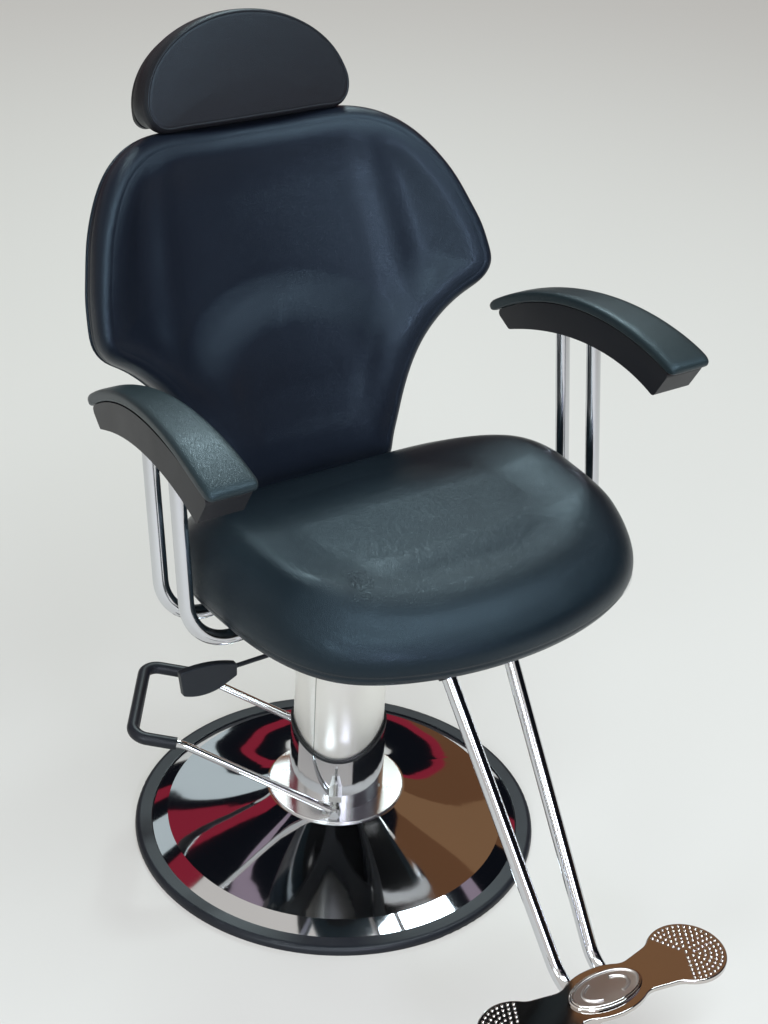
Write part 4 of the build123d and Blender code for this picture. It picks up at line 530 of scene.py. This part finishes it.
def set_skin(piece, rings):
    """Gives a piece the closed smooth mesh through its rings, normals outward."""
    rows, columns = rings.shape[:2]
    points = np.vstack([rings.reshape(-1, 3), rings[0].mean(0), rings[-1].mean(0)])
    mesh = bpy.data.meshes.new(piece.name)
    mesh.from_pydata(points.tolist(), [], skin_faces(rows, columns))
    mesh.materials.append(piece.data.materials[0])
    shell = bmesh.new()
    shell.from_mesh(mesh)
    bmesh.ops.recalc_face_normals(shell, faces=shell.faces)
    shell.to_mesh(mesh)
    shell.free()
    mesh.shade_smooth()
    piece.data = mesh


def skin(name, rings, material):
    """New piece: a closed smooth mesh through rings of equal count."""
    made = plain_object(name, [(0, 0, 0)], [], material)
    set_skin(made, np.array(rings, float))
    return made


def points_of(piece, mesh=None):
    """Array of the points of a piece, or of another mesh given for it."""
    points = (mesh or piece.data).vertices
    flat = np.empty(len(points) * 3)
    points.foreach_get("co", flat)
    return flat.reshape(-1, 3)


def move_points(piece, places):
    """Writes a mesh's points back."""
    piece.data.vertices.foreach_set("co", places.reshape(-1))
    piece.data.update()


def normals_of(piece):
    """Array of a mesh's vertex normals."""
    flat = np.empty(len(piece.data.vertices) * 3)
    piece.data.vertex_normals.foreach_get("vector", flat)
    return flat.reshape(-1, 3)


PRESSURE = 4.0
LAST_FRAME = 20
SPREADS = 40
POLE_ROWS = 8


def puff(piece, columns, sewn, most):
    """Blows a cover up in a short cloth run; points that are sewn stay, and none moves further than most.

    The foam under the cover spreads each move over its neighbours, which leaves only soft folds,
    and the rows next to the middle of a face move as one.
    """
    rest = points_of(piece)
    held = piece.vertex_groups.new(name="sewn")
    held.add([int(i) for i in np.nonzero(sewn)[0]], 1.0, "REPLACE")
    cloth = piece.modifiers.new("cover", "CLOTH")
    cloth.settings.vertex_group_mass = "sewn"
    cloth.settings.use_pressure = True
    cloth.settings.uniform_pressure_force = PRESSURE
    cloth.settings.quality = 4
    cloth.settings.effector_weights.gravity = 0.0
    cloth.collision_settings.use_collision = False
    for number in range(1, LAST_FRAME + 1):
        bpy.context.scene.frame_set(number)
    blown = bpy.data.meshes.new_from_object(piece.evaluated_get(bpy.context.evaluated_depsgraph_get()))
    step = points_of(piece, blown) - rest
    piece.modifiers.clear()
    piece.vertex_groups.clear()
    bpy.data.meshes.remove(blown)
    bpy.context.scene.frame_set(1)
    length = np.maximum(np.linalg.norm(step, axis=1)[:, None], 1e-9)
    step *= np.minimum(length, most) / length
    free = (1.0 - sewn[:-2]).reshape(-1, columns, 1)
    grid = np.concatenate([step[:-2].reshape(-1, columns, 3), free], 2)
    for _ in range(SPREADS):
        grid = grid * 0.5 + (np.roll(grid, 1, 1) + np.roll(grid, -1, 1)) * 0.25
        ends = np.concatenate([grid[:1], grid, grid[-1:]])
        grid = grid * 0.5 + (ends[:-2] + ends[2:]) * 0.25
    grid = grid[:, :, :3] * np.clip(grid[:, :, 3:] * 2 - 1, 0, 1)
    for number in range(POLE_ROWS):
        for row in (grid[number], grid[-1 - number]):
            row += (row.mean(0) - row) * (1 - number / POLE_ROWS)
    step[:-2] = grid.reshape(-1, 3)
    step[-2:] = grid[0].mean(0), grid[-1].mean(0)
    move_points(piece, rest + step)


def doubled(grid, closed):
    """Twice the rows of a grid of points, the new ones on smooth curves through the old."""
    if closed:
        ends = np.concatenate([grid[-1:], grid, grid[:2]])
    else:
        ends = np.concatenate([[2 * grid[0] - grid[1]], grid, [2 * grid[-1] - grid[-2]]])
    middle = (9 * (ends[1:-2] + ends[2:-1]) - ends[:-3] - ends[3:]) / 16
    paired = np.empty((len(grid) + len(middle), *grid.shape[1:]))
    paired[0::2] = grid
    paired[1::2] = middle
    return paired


def refine(piece, columns):
    """One smooth subdivision of a skin, both along its rings and across them."""
    rings = points_of(piece)[:-2].reshape(-1, columns, 3)
    finer = doubled(doubled(rings, False).transpose(1, 0, 2), True).transpose(1, 0, 2)
    set_skin(piece, finer)


SEAT_HALF = 0.2755
SEAT_FRONT = -0.384
SEAT_LENGTH = 0.461
SEAT_BOTTOM = 0.4993
SEAT_BELLY = 0.530
SEAT_CREST = 0.6005
SEAT_TUCK = 0.011
SEAT_DISH = 0.0135
DISH_HALF_WIDTH = 0.236
DISH_HALF_LENGTH = 0.200
DISH_MIDDLE = -0.146
FRONT_FALL = 0.036
REAR_FALL = 0.058
ROLL_IN = 0.058
FRONT_ROLL_IN = 0.034
CREASE_DEPTH = 0.0016
BAND_HEIGHT = 0.5125
BAND_DEPTH = 0.0013
REAR_DRAWN_IN = 0.0035
REAR_HELD = 0.030
COVER_RISE = 0.0035
SEAT_COLUMNS = 176
quarter = [
    (SEAT_HALF * wide, SEAT_FRONT + SEAT_LENGTH * along)
    for wide, along in ((0.50, 0.047), (0.80, 0.150), (0.96, 0.350), (1.0, 0.570), (0.965, 0.790), (0.72, 0.955))
]
seat_edge = closed_curve(
    [(0, SEAT_FRONT), *quarter, (0, SEAT_FRONT + SEAT_LENGTH), *[(-px, py) for px, py in reversed(quarter)]],
    SEAT_COLUMNS,
)
seat_inward = inward(seat_edge)
seat_middle = np.array([0.0, -0.140])


def seat_top(y):
    """Height of the seat's crest: level in the middle, falling to the front lip and to the back."""
    ahead = np.clip((-0.225 - y) / 0.16, 0, 1)
    behind = np.clip((y + 0.12) / 0.197, 0, 1)
    return SEAT_CREST - FRONT_FALL * ahead ** 1.5 - REAR_FALL * behind ** 1.5


def dish(x, y):
    """How far in from the dish's rim a place on the seat is, as a share of the dish: 1 at its middle."""
    across = np.abs(x) / DISH_HALF_WIDTH
    along = np.abs(y - DISH_MIDDLE) / DISH_HALF_LENGTH
    return 1 - (across ** 3.0 + along ** 3.0) ** (1 / 3.0)


def seat_surface(x, y):
    """Height of the seat's upper skin, inside its rolled edge."""
    return seat_top(y) - SEAT_DISH * smooth_step(dish(x, y) / 0.40)


def seat_ring(inset, height):
    """Ring of the cushion's skin, in from the widest line by insets that may differ round the seat."""
    flat = seat_edge + seat_inward * np.broadcast_to(inset, SEAT_COLUMNS)[:, None]
    return np.column_stack([flat, np.broadcast_to(height, SEAT_COLUMNS)])


seat_rings = []
foot = seat_ring(SEAT_TUCK, 0)[:, :2]
for share in np.linspace(0.04, 0.97, 14):
    flat = seat_middle + (foot - seat_middle) * share
    seat_rings.append(np.column_stack([flat, np.full(SEAT_COLUMNS, SEAT_BOTTOM)]))
for turn in np.linspace(0, 90, 8):
    bend = math.radians(turn)
    lift = (SEAT_BELLY - SEAT_BOTTOM) * (1 - math.cos(bend)) ** 0.7
    seat_rings.append(seat_ring(SEAT_TUCK * (1 - math.sin(bend)), SEAT_BOTTOM + 0.0006 + lift))
roll_in = ROLL_IN + FRONT_ROLL_IN * smooth_step((-0.215 - seat_edge[:, 1]) / 0.14)
for turn in np.linspace(90 / 13, 90, 13):
    bend = math.radians(turn)
    ring = seat_ring(roll_in * (1 - math.cos(bend)), 0)
    ring[:, 2] = SEAT_BELLY + (seat_surface(ring[:, 0], ring[:, 1]) - SEAT_BELLY) * math.sin(bend) ** 0.92
    seat_rings.append(ring)
crest_line = seat_rings[-1][:, :2]
for share in np.linspace(0, 1, 40)[1:-1]:
    flat = crest_line + (seat_middle - crest_line) * share ** 0.9 * 0.995
    seat_rings.append(np.column_stack([flat, seat_surface(flat[:, 0], flat[:, 1])]))
# Seat vinyl: partly its own near-black, partly painted highlight colour in its teal-grey tint.
vinyl = vinyl_finish("seat vinyl with painted highlight tint", (0.0040, 0.0070, 0.0100), (0.0080, 0.0130, 0.0165), 0.28)
seat = skin("seat_cover", seat_rings, vinyl)
places = points_of(seat)
puff(seat, SEAT_COLUMNS, (places[:, 2] < BAND_HEIGHT - 0.0005) | (places[:, 1] > REAR_HELD), COVER_RISE)
refine(seat, SEAT_COLUMNS)
places = points_of(seat)
crease = np.exp(-((dish(places[:, 0], places[:, 1]) / 0.06) ** 2)) * smooth_step((places[:, 2] - 0.550) / 0.015)
crease *= 0.10 + 0.90 * smooth_step((-places[:, 0] - 0.10) / 0.08)
band = np.exp(-(((places[:, 2] - BAND_HEIGHT) / 0.0016) ** 2))
places = places - normals_of(seat) * (crease * CREASE_DEPTH + band * BAND_DEPTH)[:, None]
places[:, 1] -= REAR_DRAWN_IN * smooth_step((places[:, 1] - 0.045) / 0.030)
move_points(seat, places)
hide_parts("seat_cushion")
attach(seat, "seat")


def geometry_tree(name, sizes):
    """New Geometry Nodes tree with a mesh in, named sizes, a material and a mesh out."""
    tree = bpy.data.node_groups.new(name, "GeometryNodeTree")
    tree.interface.new_socket("Line", in_out="INPUT", socket_type="NodeSocketGeometry")
    for label, value in sizes.items():
        kind = "NodeSocketInt" if isinstance(value, int) else "NodeSocketFloat"
        tree.interface.new_socket(label, in_out="INPUT", socket_type=kind).default_value = value
    tree.interface.new_socket("Finish", in_out="INPUT", socket_type="NodeSocketMaterial")
    tree.interface.new_socket("Mesh", in_out="OUTPUT", socket_type="NodeSocketGeometry")
    entry = tree.nodes.new("NodeGroupInput")
    leave = tree.nodes.new("NodeGroupOutput")
    realize = tree.nodes.new("GeometryNodeRealizeInstances")
    paint = tree.nodes.new("GeometryNodeSetMaterial")
    tree.links.new(realize.outputs[0], paint.inputs["Geometry"])
    tree.links.new(entry.outputs["Finish"], paint.inputs["Material"])
    tree.links.new(paint.outputs[0], leave.inputs[0])
    return tree, entry, realize


def join(tree, *pairs):
    """Links pairs of sockets, each an output and an input."""
    for leaving, entering in pairs:
        tree.links.new(leaving, entering)


def grow(name, tree, points, edges, sizes, finish):
    """Runs a tree on a line or a set of points, and keeps the result as a plain mesh."""
    mesh = bpy.data.meshes.new(name)
    mesh.from_pydata([tuple(p) for p in points], edges, [])
    base = bpy.data.objects.new(name + "_line", mesh)
    bpy.context.scene.collection.objects.link(base)
    modifier = base.modifiers.new("grow", "NODES")
    modifier.node_group = tree
    for item in tree.interface.items_tree:
        if item.in_out == "INPUT" and item.name in sizes:
            modifier[item.identifier] = sizes[item.name]
        if item.in_out == "INPUT" and item.name == "Finish":
            modifier[item.identifier] = finish
    grown = bpy.data.meshes.new_from_object(base.evaluated_get(bpy.context.evaluated_depsgraph_get()))
    bpy.data.objects.remove(base)
    grown.name = name
    grown.shade_smooth()
    made = bpy.data.objects.new(name, grown)
    bpy.context.scene.collection.objects.link(made)
    return made


def loop_edges(count, closed=True):
    """Edges that join points in turn."""
    return [(i, (i + 1) % count) for i in range(count if closed else count - 1)]


# Stitches along a line: one short thread each, sunk a little in the cover.
stitch_tree, entry, realize = geometry_tree("stitches", {"Spacing": 0.0042, "Length": 0.0032, "Thread": 0.0006})
to_curve = stitch_tree.nodes.new("GeometryNodeMeshToCurve")
evenly = stitch_tree.nodes.new("GeometryNodeCurveToPoints")
evenly.mode = "LENGTH"
thread = stitch_tree.nodes.new("GeometryNodeMeshUVSphere")
thread.inputs["Segments"].default_value = 6
thread.inputs["Rings"].default_value = 4
thread.inputs["Radius"].default_value = 0.5
size = stitch_tree.nodes.new("ShaderNodeCombineXYZ")
each = stitch_tree.nodes.new("GeometryNodeInstanceOnPoints")
align = stitch_tree.nodes.new("FunctionNodeAlignRotationToVector")
align.axis = "Z"
join(
    stitch_tree,
    (entry.outputs["Line"], to_curve.inputs[0]),
    (to_curve.outputs[0], evenly.inputs[0]),
    (entry.outputs["Spacing"], evenly.inputs["Length"]),
    (evenly.outputs["Points"], each.inputs["Points"]),
    (evenly.outputs["Tangent"], align.inputs["Vector"]),
    (thread.outputs["Mesh"], each.inputs["Instance"]),
    (align.outputs[0], each.inputs["Rotation"]),
    (entry.outputs["Thread"], size.inputs[0]),
    (entry.outputs["Thread"], size.inputs[1]),
    (entry.outputs["Length"], size.inputs[2]),
    (size.outputs[0], each.inputs["Scale"]),
    (each.outputs[0], realize.inputs[0]),
)

black_thread = moulded_finish("thread", (0.010, 0.011, 0.013), (0.020, 0.022, 0.025), 0.55, 2600, 0.00008)
band_points = seat_ring(0.0012, 0.5158)
seat_stitches = grow("seat_stitches", stitch_tree, band_points, loop_edges(SEAT_COLUMNS), {}, black_thread)
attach(seat_stitches, "seat")

# ------------------------------------------------------------------ arms
# Moulded foam armrests, the body under the pad in one dark block over the two hoops. The pad is
# a skinned cushion that follows the arch, a little wider than the body, tucked over its edge.
ARM_CENTRE_Y = -0.130
ARM_CENTRE_Z = 0.379
ARM_REACH = 0.407
ARM_REAR_ANGLE = 36.5
ARM_SWEEP = 55.9
PAD_INNER = 0.292
PAD_FRONT_OUTER = 0.3565
PAD_TIP_OUTER = 0.318
PAD_DEPTH = 0.0155
dress(moulded_finish("arm block", (0.0095, 0.0100, 0.0125), (0.018, 0.017, 0.018), 0.34, 1100, 0.00008),
      "arm_body_left", "arm_body_right")
# Arm vinyl: partly its own near-black, partly painted highlight colour in its teal-green tint.
arm_vinyl_painted_tint = vinyl_finish("arm vinyl with painted highlight tint", (0.0110, 0.0170, 0.0190), (0.0200, 0.0290, 0.0310), 0.30)
section_angles = np.linspace(0, 2 * math.pi, 40, endpoint=False)
arm_shares = np.concatenate([[0.0, 0.004, 0.012, 0.024], np.linspace(0.04, 0.96, 34), [0.976, 0.988, 0.996, 1.0]])
for side, sign in (("left", 1), ("right", -1)):
    rings = []
    for share in arm_shares:
        angle = math.radians(ARM_REAR_ANGLE - ARM_SWEEP * share)
        length = ARM_CENTRE_Y + ARM_REACH * math.sin(angle)
        drawn_in = min(max((length + 0.24) / 0.35, 0.0), 1.0) ** 1.25
        outer = PAD_FRONT_OUTER + (PAD_TIP_OUTER - PAD_FRONT_OUTER) * drawn_in
        middle = (PAD_INNER + outer) / 2
        near_end = min(share, 1 - share) / 0.036
        fill = math.sqrt(max(0.0, 1 - (1 - min(near_end, 1.0)) ** 2))
        width = (outer - PAD_INNER) / 2 * (0.80 + 0.20 * fill)
        ring = []
        for around in section_angles:
            c, s = math.cos(around), math.sin(around)
            across = math.copysign(abs(c) ** 0.36, c) * width
            lift = math.copysign(abs(s) ** (0.62 if s > 0 else 0.40), s) * PAD_DEPTH / 2 * (0.25 + 0.75 * fill)
            reach = ARM_REACH - PAD_DEPTH / 2 + lift - 0.0003
            ring.append((sign * (middle + across), ARM_CENTRE_Y + reach * math.sin(angle),
                         ARM_CENTRE_Z + reach * math.cos(angle)))
        rings.append(ring)
    pad = skin(f"arm_cover_{side}", rings, arm_vinyl_painted_tint)
    refine(pad, len(section_angles))
    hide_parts(f"arm_pad_{side}")
    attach(pad, "seat")

# ------------------------------------------------------------------ backrest
# Foam on a curved board under one stretched vinyl cover: a soft raised border, a shallow middle,
# an arched lumbar cushion low down, and two wings with a slack fold beside each.
BACK_FOOT = np.array([0.0, 0.0766, 0.480])
BACK_LEAN = math.radians(21.5)
back_up = np.array([0.0, math.sin(BACK_LEAN), math.cos(BACK_LEAN)])
back_front = np.array([0.0, -math.cos(BACK_LEAN), math.sin(BACK_LEAN)])
BACK_CURVE = 0.545
BACK_COLUMNS = 216
EDGE_ROLL = 0.017
BORDER_RISE = 0.0055
PANEL_DIP = 0.0045
ARCH_RISE = 0.0150
ARCH_FOOT = 0.170
ARCH_HEIGHT = 0.150
ARCH_HALF_WIDTH = 0.180
FOOT_DRAWN_IN = 0.002
FOOT_HELD = 0.640
half_back = [
    (0.060, 0.032), (0.104, 0.0325), (0.126, 0.042), (0.1340, 0.062), (0.1435, 0.088), (0.154, 0.114),
    (0.171, 0.151), (0.194, 0.188), (0.224, 0.220), (0.256, 0.243), (0.280, 0.258), (0.2925, 0.277),
    (0.2930, 0.305), (0.2885, 0.335), (0.281, 0.362), (0.268, 0.402), (0.249, 0.440), (0.221, 0.477),
    (0.182, 0.5045), (0.135, 0.5175), (0.070, 0.518),
]
back_edge = closed_curve([(0, 0.032), *half_back, (0, 0.518), *[(-px, ps) for px, ps in reversed(half_back)]],
                         BACK_COLUMNS)
back_inward = inward(back_edge)
back_middle = np.array([0.0, 0.300])


def on_back(flat, behind):
    """Places in the room from places on the back's front view and distances behind its face."""
    behind = np.broadcast_to(behind, len(flat))
    forward = BACK_CURVE - np.sqrt((BACK_CURVE + behind) ** 2 - flat[:, 0] ** 2)
    places = BACK_FOOT + flat[:, 1:2] * back_up + forward[:, None] * back_front
    places[:, 0] += flat[:, 0]
    return places


def back_view(places):
    """Front view of the back, x and height along it, and how far a place is behind its face."""
    local = places - BACK_FOOT
    height = local @ back_up
    forward = local @ back_front
    behind = np.sqrt(places[:, 0] ** 2 + (BACK_CURVE - forward) ** 2) - BACK_CURVE
    return np.column_stack([places[:, 0], height]), behind


def lumbar(flat):
    """How far in from the lumbar cushion's arched edge a place is, as a share of the arch."""
    over = np.maximum(flat[:, 1] - ARCH_FOOT, 0) / ARCH_HEIGHT
    return 1 - ((np.abs(flat[:, 0] + 0.004) / ARCH_HALF_WIDTH) ** 2.2 + over ** 2.2) ** (1 / 2.2)


def wing_line(height):
    """Distance from the middle of the fold between the middle and a wing."""
    return np.interp(height, [0.22, 0.276, 0.332, 0.388, 0.442, 0.496], [0.176, 0.172, 0.168, 0.162, 0.156, 0.150])


def back_relief(flat):
    """How far the front of the back stands proud of its plain curve."""
    gap = from_edge(flat, back_edge)
    border = BORDER_RISE * np.exp(-(((gap - 0.030) / 0.022) ** 2))
    panel = -PANEL_DIP * smooth_step((gap - 0.030) / 0.065)
    rise = ARCH_RISE * smooth_step(lumbar(flat) / 0.48) * smooth_step((gap - 0.004) / 0.07)
    off_wing = np.abs(flat[:, 0]) - wing_line(flat[:, 1])
    fold = np.exp(-((off_wing / 0.020) ** 2)) * 0.0035 - np.exp(-(((off_wing - 0.040) / 0.022) ** 2)) * 0.0030
    fold *= smooth_step((gap - 0.020) / 0.04) * smooth_step((flat[:, 1] - 0.20) / 0.08)
    above_foot = smooth_step(flat[:, 1] / 0.11)
    return (border + panel + rise + fold) * above_foot - FOOT_DRAWN_IN * smooth_step(1 - flat[:, 1] / 0.09)


back_rings = []
inner_edge = back_edge + back_inward * EDGE_ROLL
for share in np.linspace(0.006, 0.988, 52):
    flat = back_middle + (inner_edge - back_middle) * (1 - (1 - share) ** 1.18)
    back_rings.append(on_back(flat, -back_relief(flat)))
for turn in np.linspace(0, 90, 9):
    bend = math.radians(turn)
    flat = back_edge + back_inward * EDGE_ROLL * (1 - math.sin(bend))
    lift = back_relief(back_edge + back_inward * EDGE_ROLL) * math.cos(bend)
    back_rings.append(on_back(flat, EDGE_ROLL * 1.1 * (1 - math.cos(bend)) - lift))
for behind, inset in ((0.0245, 0.0), (0.0300, 0.0004), (0.0345, 0.0016), (0.0370, 0.0040)):
    back_rings.append(on_back(back_edge + back_inward * inset, behind))
rear_edge = back_edge + back_inward * 0.006
for share in (1.0, 0.94, 0.85, 0.7, 0.5, 0.3, 0.1):
    back_rings.append(on_back(back_middle + (rear_edge - back_middle) * share, 0.0377))
# Back vinyl: partly its own near-black, partly painted highlight colour in its blue tint.
back_vinyl_painted_tint = vinyl_finish("back vinyl with painted highlight tint", (0.0050, 0.0065, 0.0110), (0.0090, 0.0115, 0.0180), 0.29)
back = skin("back_cover", back_rings, back_vinyl_painted_tint)
places = points_of(back)
flat, behind = back_view(places)
puff(back, BACK_COLUMNS, (behind > 0.020) | (places[:, 2] < FOOT_HELD), COVER_RISE)
refine(back, BACK_COLUMNS)
places = points_of(back)
flat, behind = back_view(places)
gap = from_edge(flat, back_edge)
fold = 0.0007 * np.exp(-((lumbar(flat) / 0.06) ** 2)) * smooth_step((gap - 0.05) / 0.02)
front_only = smooth_step((0.012 - behind) / 0.004)
side_seam = 0.0010 * np.exp(-(((behind - 0.0270) / 0.0012) ** 2)) * (gap < 0.012)
move_points(back, places - normals_of(back) * (fold * front_only + side_seam)[:, None])
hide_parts("back_pad")
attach(back, "back")

# Rear of the back: a padded vinyl panel stretched over the board and closed by a welt round it.
rear_rings = []
shell_edge = back_edge + back_inward * 0.0032
for share in (0.1, 0.3, 0.5, 0.7, 0.85, 0.95):
    rear_rings.append(on_back(back_middle + (shell_edge - back_middle) * share, 0.0381))
for behind, inset in ((0.0381, 0.0), (0.0405, -0.0002), (0.0430, 0.0002), (0.0455, 0.0014), (0.0475, 0.0036),
                      (0.0490, 0.0068), (0.0497, 0.0105), (0.0499, 0.0150)):
    rear_rings.append(on_back(shell_edge + back_inward * inset, behind))
panel_edge = shell_edge + back_inward * 0.0150
for share in np.linspace(1, 0.02, 40)[1:]:
    rear_rings.append(on_back(back_middle + (panel_edge - back_middle) * share, 0.0499))
rear = skin("back_rear_cover", rear_rings, back_vinyl_painted_tint)
refine(rear, BACK_COLUMNS)
places = points_of(rear)
flat, behind = back_view(places)
gap = from_edge(flat, back_edge)
seam = 0.0011 * np.exp(-(((gap - 0.030) / 0.0018) ** 2)) * smooth_step((behind - 0.046) / 0.002)
move_points(rear, places - normals_of(rear) * seam[:, None])
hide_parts("back_shell")
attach(rear, "back")

# Round welt cord in the seam between the two covers, and the row of stitches inside the rear panel.
cord_tree, entry, realize = geometry_tree("welt", {"Radius": 0.0022, "Sides": 10})
to_curve = cord_tree.nodes.new("GeometryNodeMeshToCurve")
ring = cord_tree.nodes.new("GeometryNodeCurvePrimitiveCircle")
tube = cord_tree.nodes.new("GeometryNodeCurveToMesh")
tube.inputs["Fill Caps"].default_value = True
join(
    cord_tree,
    (entry.outputs["Line"], to_curve.inputs[0]),
    (entry.outputs["Radius"], ring.inputs["Radius"]),
    (entry.outputs["Sides"], ring.inputs["Resolution"]),
    (to_curve.outputs[0], tube.inputs["Curve"]),
    (ring.outputs["Curve"], tube.inputs["Profile Curve"]),
    (tube.outputs[0], realize.inputs[0]),
)
welt = grow("back_welt", cord_tree, on_back(back_edge + back_inward * 0.0026, 0.0378), loop_edges(BACK_COLUMNS),
            {"Radius": 0.0023}, back_vinyl_painted_tint)
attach(welt, "back")
rear_stitches = grow("back_stitches", stitch_tree, on_back(back_edge + back_inward * 0.0335, 0.0500),
                     loop_edges(BACK_COLUMNS), {}, black_thread)
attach(rear_stitches, "back")

# ------------------------------------------------------------------ headrest
# Half-moon of foam on a board: a flat face cut from one piece, sewn with a welt to a plain band.
# The board is fixed to two chrome posts that slide in guides inside the back.
REST_HALF = 0.151
REST_BASE = 0.5445
REST_ARCH = 0.111
REST_BOTTOM = 0.5225
REST_FRONT = 0.019
REST_REAR = -0.0248
FACE_ROLL = 0.009
LIP_DROP = 0.0065
REST_COLUMNS = 132
half_rest = [(0.060, 0.5225), (0.112, 0.5225), (0.132, 0.5240), (0.1465, 0.5345), (0.1510, 0.5490)]
half_rest += [
    (REST_HALF * math.cos(a), REST_BASE + REST_ARCH * math.sin(a))
    for a in np.radians([12, 24, 36, 48, 60, 70, 80])
]
rest_edge = closed_curve([(0, REST_BOTTOM), *half_rest, (0, REST_BASE + REST_ARCH),
                          *[(-px, ps) for px, ps in reversed(half_rest)]], REST_COLUMNS)
rest_inward = inward(rest_edge)
rest_middle = np.array([0.0, 0.575])


def on_rest(flat, forward):
    """Places in the room from the headrest's front view and distances forward of the back's face."""
    places = BACK_FOOT + flat[:, 1:2] * back_up + np.broadcast_to(forward, len(flat))[:, None] * back_front
    places[:, 0] += flat[:, 0]
    return places


def drooped(flat, share):
    """Lets the straight bottom of the front hang a little lower, in front of the posts."""
    low = smooth_step((REST_BOTTOM + 0.030 - flat[:, 1]) / 0.030)
    return np.column_stack([flat[:, 0], flat[:, 1] - LIP_DROP * share * low])


rest_rings = []
face_edge = rest_edge + rest_inward * FACE_ROLL
for share in np.linspace(0.02, 0.985, 26):
    flat = rest_middle + (face_edge - rest_middle) * share
    crown = 0.0026 * (1 - share ** 2.6)
    rest_rings.append(on_rest(drooped(flat, 1.0), REST_FRONT - 0.0006 + crown))
for turn in np.linspace(0, 90, 7):
    bend = math.radians(turn)
    rest_rings.append(on_rest(drooped(rest_edge + rest_inward * FACE_ROLL * (1 - math.sin(bend)), 1.0),
                              REST_FRONT - 0.0006 - FACE_ROLL * 1.2 * (1 - math.cos(bend))))
for forward, inset in ((0.002, -0.0006), (-0.004, -0.0010), (-0.011, -0.0008), (-0.018, 0.0002), (-0.022, 0.0014)):
    share = min(max((forward + 0.005) / 0.008, 0.0), 1.0)
    rest_rings.append(on_rest(drooped(rest_edge + rest_inward * inset, share), forward))
for share in (0.985, 0.9, 0.7, 0.45, 0.2, 0.05):
    rest_rings.append(on_rest(rest_middle + (rest_edge + rest_inward * 0.003 - rest_middle) * share, REST_REAR))
rest_vinyl = vinyl_finish("headrest vinyl", (0.0085, 0.0075, 0.0090), (0.0140, 0.0120, 0.0130), 0.38)
rest_cover = skin("headrest_cover", rest_rings, rest_vinyl)
forward = (points_of(rest_cover) - BACK_FOOT) @ back_front
puff(rest_cover, REST_COLUMNS, (forward < 0.001) | (np.abs(forward - 0.0175) < 0.0012), 0.003)
refine(rest_cover, REST_COLUMNS)
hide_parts("headrest_pad")
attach(rest_cover, "headrest")
rest_welt = grow("headrest_welt", cord_tree,
                 on_rest(drooped(rest_edge + rest_inward * 0.0042, 1.0), REST_FRONT - 0.0022),
                 loop_edges(REST_COLUMNS), {"Radius": 0.0017}, rest_vinyl)
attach(rest_welt, "headrest")
dress(moulded_finish("black plastic", (0.011, 0.011, 0.012), (0.022, 0.022, 0.023), 0.40, 1500, 0.00010),
      "headrest_board", "guide_bezels")

# ------------------------------------------------------------------ recline lever
# Thin coated rod with a leaf-shaped paddle of black plastic pushed on its end. The rod turns on a
# pin in a bracket under the seat and frees the gas spring.
dress(coated_steel, "lever_rod")
dress(moulded_finish("lever plastic", (0.008, 0.010, 0.013), (0.016, 0.019, 0.023), 0.38, 1300, 0.00010),
      "lever_paddle")

# ------------------------------------------------------------------ footrest
# Cast aluminium plate, polished on top: rows of small nubs on both lobes for grip, and a raised
# oval with a rim and two curved ridges in the middle.
PLATE_TOP = 0.1518
PLATE_Y = -0.587
LOBE_X = 0.128
NUB_ROWS = (0.0440, 0.0372, 0.0304, 0.0236, 0.0168, 0.0100)
NUB_SPACING = 0.0072
NUB_HALF_ARC = 118
OVAL_HALF_LENGTH = 0.0475
OVAL_HALF_WIDTH = 0.0235
aluminium = plated_finish(
    "polished aluminium", (0.66, 0.62, 0.59), 0.04, 0.05,
    dull_oval=(PLATE_Y, OVAL_HALF_LENGTH, OVAL_HALF_WIDTH),
)
dress(aluminium, "foot_plate")
stud_tree, entry, realize = geometry_tree("studs", {"Width": 0.0046, "Height": 0.0030})
stud = stud_tree.nodes.new("GeometryNodeMeshUVSphere")
stud.inputs["Segments"].default_value = 10
stud.inputs["Rings"].default_value = 6
stud.inputs["Radius"].default_value = 0.5
size = stud_tree.nodes.new("ShaderNodeCombineXYZ")
each = stud_tree.nodes.new("GeometryNodeInstanceOnPoints")
join(
    stud_tree,
    (entry.outputs["Line"], each.inputs["Points"]),
    (stud.outputs["Mesh"], each.inputs["Instance"]),
    (entry.outputs["Width"], size.inputs[0]),
    (entry.outputs["Width"], size.inputs[1]),
    (entry.outputs["Height"], size.inputs[2]),
    (size.outputs[0], each.inputs["Scale"]),
    (each.outputs[0], realize.inputs[0]),
)
nub_places = []
for sign in (1, -1):
    nub_places.append((sign * LOBE_X, PLATE_Y, PLATE_TOP))
    for row in NUB_ROWS:
        reach = math.radians(NUB_HALF_ARC)
        count = max(int(2 * reach * row / NUB_SPACING), 3)
        for i in range(count + 1):
            angle = -reach + 2 * reach * i / count
            nub_places.append((sign * (LOBE_X + row * math.cos(angle)), PLATE_Y + row * math.sin(angle), PLATE_TOP))
nubs = grow("foot_nubs", stud_tree, nub_places, [], {}, aluminium)
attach(nubs, "seat")


def oval(half_length, half_width, start_angle, end_angle, count, height):
    """Points on an oval round the middle of the foot plate."""
    angles = np.radians(np.linspace(start_angle, end_angle, count, endpoint=end_angle - start_angle < 360))
    return [(half_length * math.cos(a), PLATE_Y + half_width * math.sin(a), height) for a in angles]


rim_line = oval(OVAL_HALF_LENGTH, OVAL_HALF_WIDTH, 0, 360, 56, PLATE_TOP + 0.0038)
rim = grow("foot_oval_rim", cord_tree, rim_line, loop_edges(56), {"Radius": 0.0021}, aluminium)
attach(rim, "seat")
for number, (first, last) in enumerate(((-62, 62), (118, 242))):
    ridge_line = oval(0.0330, 0.0150, first, last, 24, PLATE_TOP + 0.0036)
    ridge = grow(f"foot_oval_ridge_{number}", cord_tree, ridge_line, loop_edges(24, False),
                 {"Radius": 0.0026}, aluminium)
    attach(ridge, "seat")
